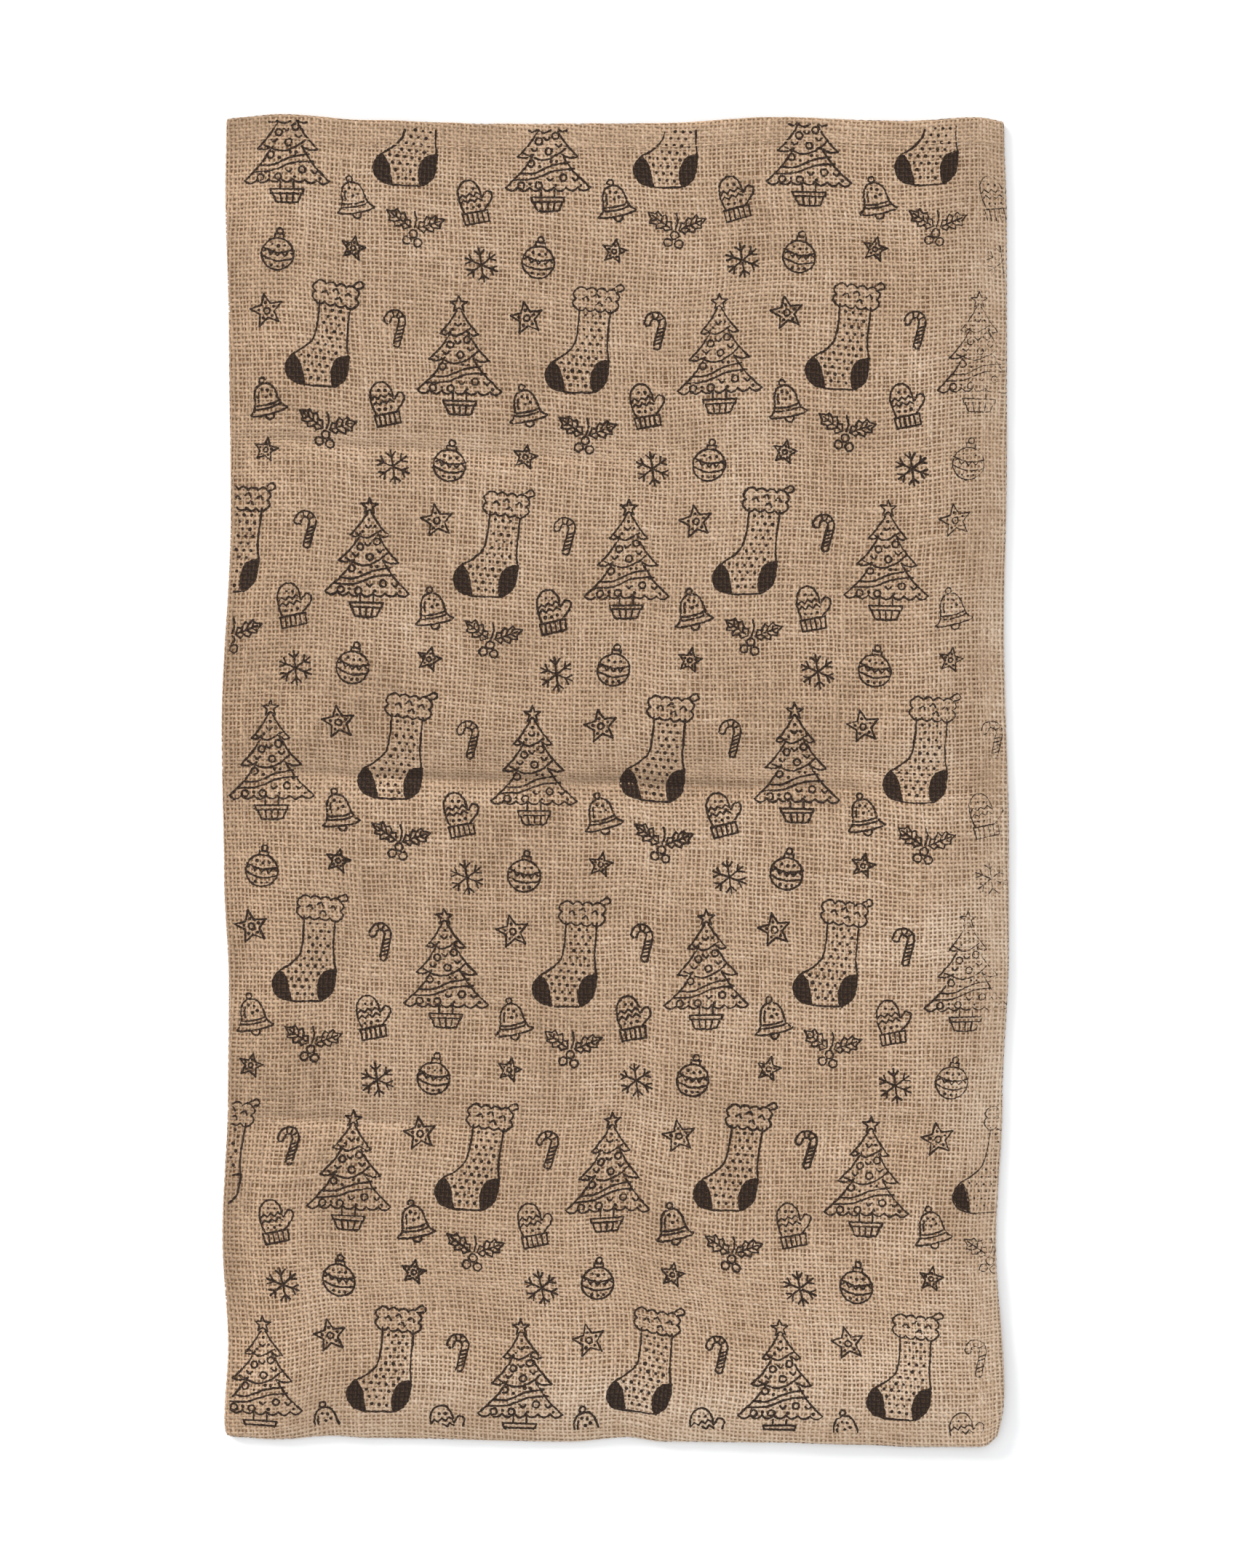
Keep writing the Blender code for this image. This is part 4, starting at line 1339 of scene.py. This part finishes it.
class BURLAP_PG_cloth(bpy.types.PropertyGroup):
    """Sizes and colours of the sack's cloth, print and thread."""

    pitch: length_setting("Yarn pitch", "From one yarn to the next, both ways", 3.3 * MM)
    yarn_width: length_setting("Yarn width", "How wide a yarn lies in the cloth", 2.36 * MM)
    yarn_rise: length_setting("Yarn rise", "How far a yarn rises over and dips under its middle", 0.24 * MM)
    yarn_drop: length_setting("Yarn drop", "From a yarn's crown down to its flanks", 0.36 * MM)
    ground_depth: length_setting("Ground depth", "From the yarns' crowns down to the ground", 1.0 * MM)
    unevenness: length_setting("Unevenness", "How far a yarn strays from its even place", 0.25 * MM)
    seed: bpy.props.IntProperty(name="Seed", description="Which of many uneven weaves", default=7, min=0)
    line: length_setting("Print line", "Width of the print's lines", 1.70 * MM)
    spot: length_setting("Print spot", "Width of the print's dots", 2.6 * MM)
    jute: colour_setting("Jute", "Most of the yarn", "B3987E")
    jute_light: colour_setting("Light jute", "The palest fibres", "D1BCA6")
    jute_dark: colour_setting("Dark jute", "The darkest fibres", "8A745F")
    # Painted shade: the colour that the yarns' flanks take beside the gaps
    jute_shade: colour_setting("Shaded jute", "The yarn's flanks", "84664B")
    # Painted shade: the colours of the ground between the yarns
    gap_shade_light: colour_setting("Light gap", "The lighter gaps between yarns", "AA8667")
    gap_shade_dark: colour_setting("Dark gap", "The darker gaps between yarns", "684C35")
    ink: colour_setting("Ink", "Black printing ink", "110C0A")
    ink_worn: colour_setting("Worn ink", "The ink where fibres show through", "301F17")
    thread: colour_setting("Thread", "Sewing thread", "C4A688")


class BURLAP_PG_stage(bpy.types.PropertyGroup):
    """The stage's camera and lights."""

    camera_height: length_setting("Camera height", "From the floor up to the camera", 3.2)
    view_length: length_setting("View length", "What the picture's long side spans on the sack", 1206.7 * MM)
    view_centre: bpy.props.FloatVectorProperty(
        name="View centre", description="The middle of the picture on the sack", size=2,
        default=(9.4 * MM, -2.45 * MM), subtype="XYZ", unit="LENGTH",
    )
    key: bpy.props.FloatProperty(
        name="Key light", description="Strength of the soft light at the upper left", default=5.6, min=0.0
    )
    sky: bpy.props.FloatProperty(
        name="Fill light", description="Brightness of the even light from all round", default=0.98, min=0.0
    )


# ---------------------------------------------------------------- operators


class BURLAP_OT_stage(bpy.types.Operator):
    """Sets up the floor, the lights and the camera straight above the sack"""

    bl_idname = "burlap.stage"
    bl_label = "Stage"

    def execute(self, context):
        stage = context.scene.burlap_stage
        camera = bpy.data.cameras.new("camera")
        camera.sensor_width = 36.0
        edge = EDGE_HEIGHT / 2  # the outline is measured where the sack is widest
        camera.lens = camera.sensor_width * (stage.camera_height - edge) / stage.view_length
        camera.clip_end = 50.0
        seen_from = new_object("camera", camera)
        seen_from.location = (*stage.view_centre, stage.camera_height)
        context.scene.camera = seen_from

        bm = bmesh.new()
        bmesh.ops.create_grid(bm, x_segments=1, y_segments=1, size=FLOOR_HALF)
        mesh = bpy.data.meshes.new("floor")
        bm.to_mesh(mesh)
        bm.free()
        mesh.materials.append(new_material("paper sweep, matt white", paper_sweep))
        floor = new_object("floor", mesh)
        floor.location.z = -FLOOR_BELOW
        floor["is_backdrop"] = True

        key = bpy.data.lights.new("key light", "SUN")
        key.energy = stage.key
        key.angle = KEY_SPAN
        key.color = (1.0, 0.985, 0.965)
        lamp = new_object("key light", key)
        lamp.location = KEY_PLACE
        lamp.rotation_euler = (-lamp.location).to_track_quat("-Z", "Y").to_euler()

        world = bpy.data.worlds.new("studio")
        world.use_nodes = True
        sky = world.node_tree.nodes["Background"]
        sky.inputs["Color"].default_value = (0.98, 0.99, 1.0, 1)
        sky.inputs["Strength"].default_value = stage.sky
        context.scene.world = world
        context.scene.view_settings.view_transform = "Standard"
        return {"FINISHED"}


class BURLAP_OT_front(bpy.types.Operator):
    """Weaves the front's yarns and prints the line-art on them"""

    bl_idname = "burlap.front"
    bl_label = "Front, woven and printed"

    def execute(self, context):
        drop = context.scene.burlap_cloth.yarn_drop
        motifs = printed_motifs()
        material = new_material("jute yarn, printed", jute_yarn, printed=True)
        for piece in woven_pieces(True, [(-1, drop), (0, 0), (1, drop)], ("_1", "_2")):
            print_on(piece.data, motifs)
            finish_piece(piece, "jute_burlap", material)
        return {"FINISHED"}


class BURLAP_OT_back(bpy.types.Operator):
    """Weaves the back's yarns"""

    bl_idname = "burlap.back"
    bl_label = "Back, woven"

    def execute(self, context):
        drop = context.scene.burlap_cloth.yarn_drop
        material = new_material("jute yarn, plain", jute_yarn, printed=False)
        for piece in woven_pieces(False, [(-1, drop / 2), (1, drop / 2)], ("",)):
            finish_piece(piece, "jute_burlap", material)
        return {"FINISHED"}


class BURLAP_OT_fibres(bpy.types.Operator):
    """Scatters the short fibres that stand off the front's yarns"""

    bl_idname = "burlap.fibres"
    bl_label = "Loose fibres"

    def execute(self, context):
        piece = fibre_mesh("loose_fibres")
        print_on(piece.data, printed_motifs())
        finish_piece(piece, "jute_burlap", bpy.data.materials["jute yarn, printed"])
        return {"FINISHED"}


class BURLAP_OT_sewing(bpy.types.Operator):
    """Sews the hem all round the mouth"""

    bl_idname = "burlap.sewing"
    bl_label = "Sewing"

    def execute(self, context):
        rng = np.random.default_rng(SEWING_SEED)
        # On the back, which lies on the floor, the stitches are pressed flat.
        paths = stitch_paths(True, STITCH_BOW, rng) + stitch_paths(False, 0.0, rng)
        piece = thread_mesh("hem_stitches", paths)
        finish_piece(piece, "sewing_thread", new_material("jute sewing thread, twisted", spun_thread))
        return {"FINISHED"}


class BURLAP_OT_ground(bpy.types.Operator):
    bl_idname = "burlap.ground"
    bl_label = "Ground behind the yarns"

    def execute(self, context):
        # The ground's outer faces are painted shade, for the gaps between the yarns.
        gaps = new_material("jute burlap, painted shade between yarns", gap_shade_ground)
        inside = new_material("jute burlap, inner face", woven_inside)
        piece = finish_piece(make_ground(), "jute_burlap", gaps, inside)
        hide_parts("sack_cloth")
        return {"FINISHED"}


class BURLAP_PT_panel(bpy.types.Panel):
    """Lists the pieces of the sack"""

    bl_label = "Burlap sack"
    bl_idname = "BURLAP_PT_panel"
    bl_space_type = "VIEW_3D"
    bl_region_type = "UI"
    bl_category = "Burlap sack"

    def draw(self, context):
        for operator in OPERATORS:
            self.layout.operator(operator.bl_idname)
        for group in (context.scene.burlap_cloth, context.scene.burlap_stage):
            box = self.layout.box()
            for name in group.__annotations__:
                box.prop(group, name)


OPERATORS = (
    BURLAP_OT_stage,
    BURLAP_OT_front,
    BURLAP_OT_back,
    BURLAP_OT_fibres,
    BURLAP_OT_sewing,
    BURLAP_OT_ground,
)
CLASSES = (BURLAP_PG_cloth, BURLAP_PG_stage, *OPERATORS, BURLAP_PT_panel)


def register():
    for made in CLASSES:
        bpy.utils.register_class(made)
    bpy.types.Scene.burlap_cloth = bpy.props.PointerProperty(type=BURLAP_PG_cloth)
    bpy.types.Scene.burlap_stage = bpy.props.PointerProperty(type=BURLAP_PG_stage)


def unregister():
    del bpy.types.Scene.burlap_cloth
    del bpy.types.Scene.burlap_stage
    for made in reversed(CLASSES):
        bpy.utils.unregister_class(made)


def main():
    register()
    bpy.ops.burlap.stage()
    bpy.ops.burlap.front()
    bpy.ops.burlap.back()
    bpy.ops.burlap.fibres()
    bpy.ops.burlap.sewing()
    bpy.ops.burlap.ground()
    boxes = {"cad": CAD_BOX, "visual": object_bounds()}
    {name: [list(corner) for corner in box] for name, box in boxes.items()}


if __name__ == "__main__":
    main()
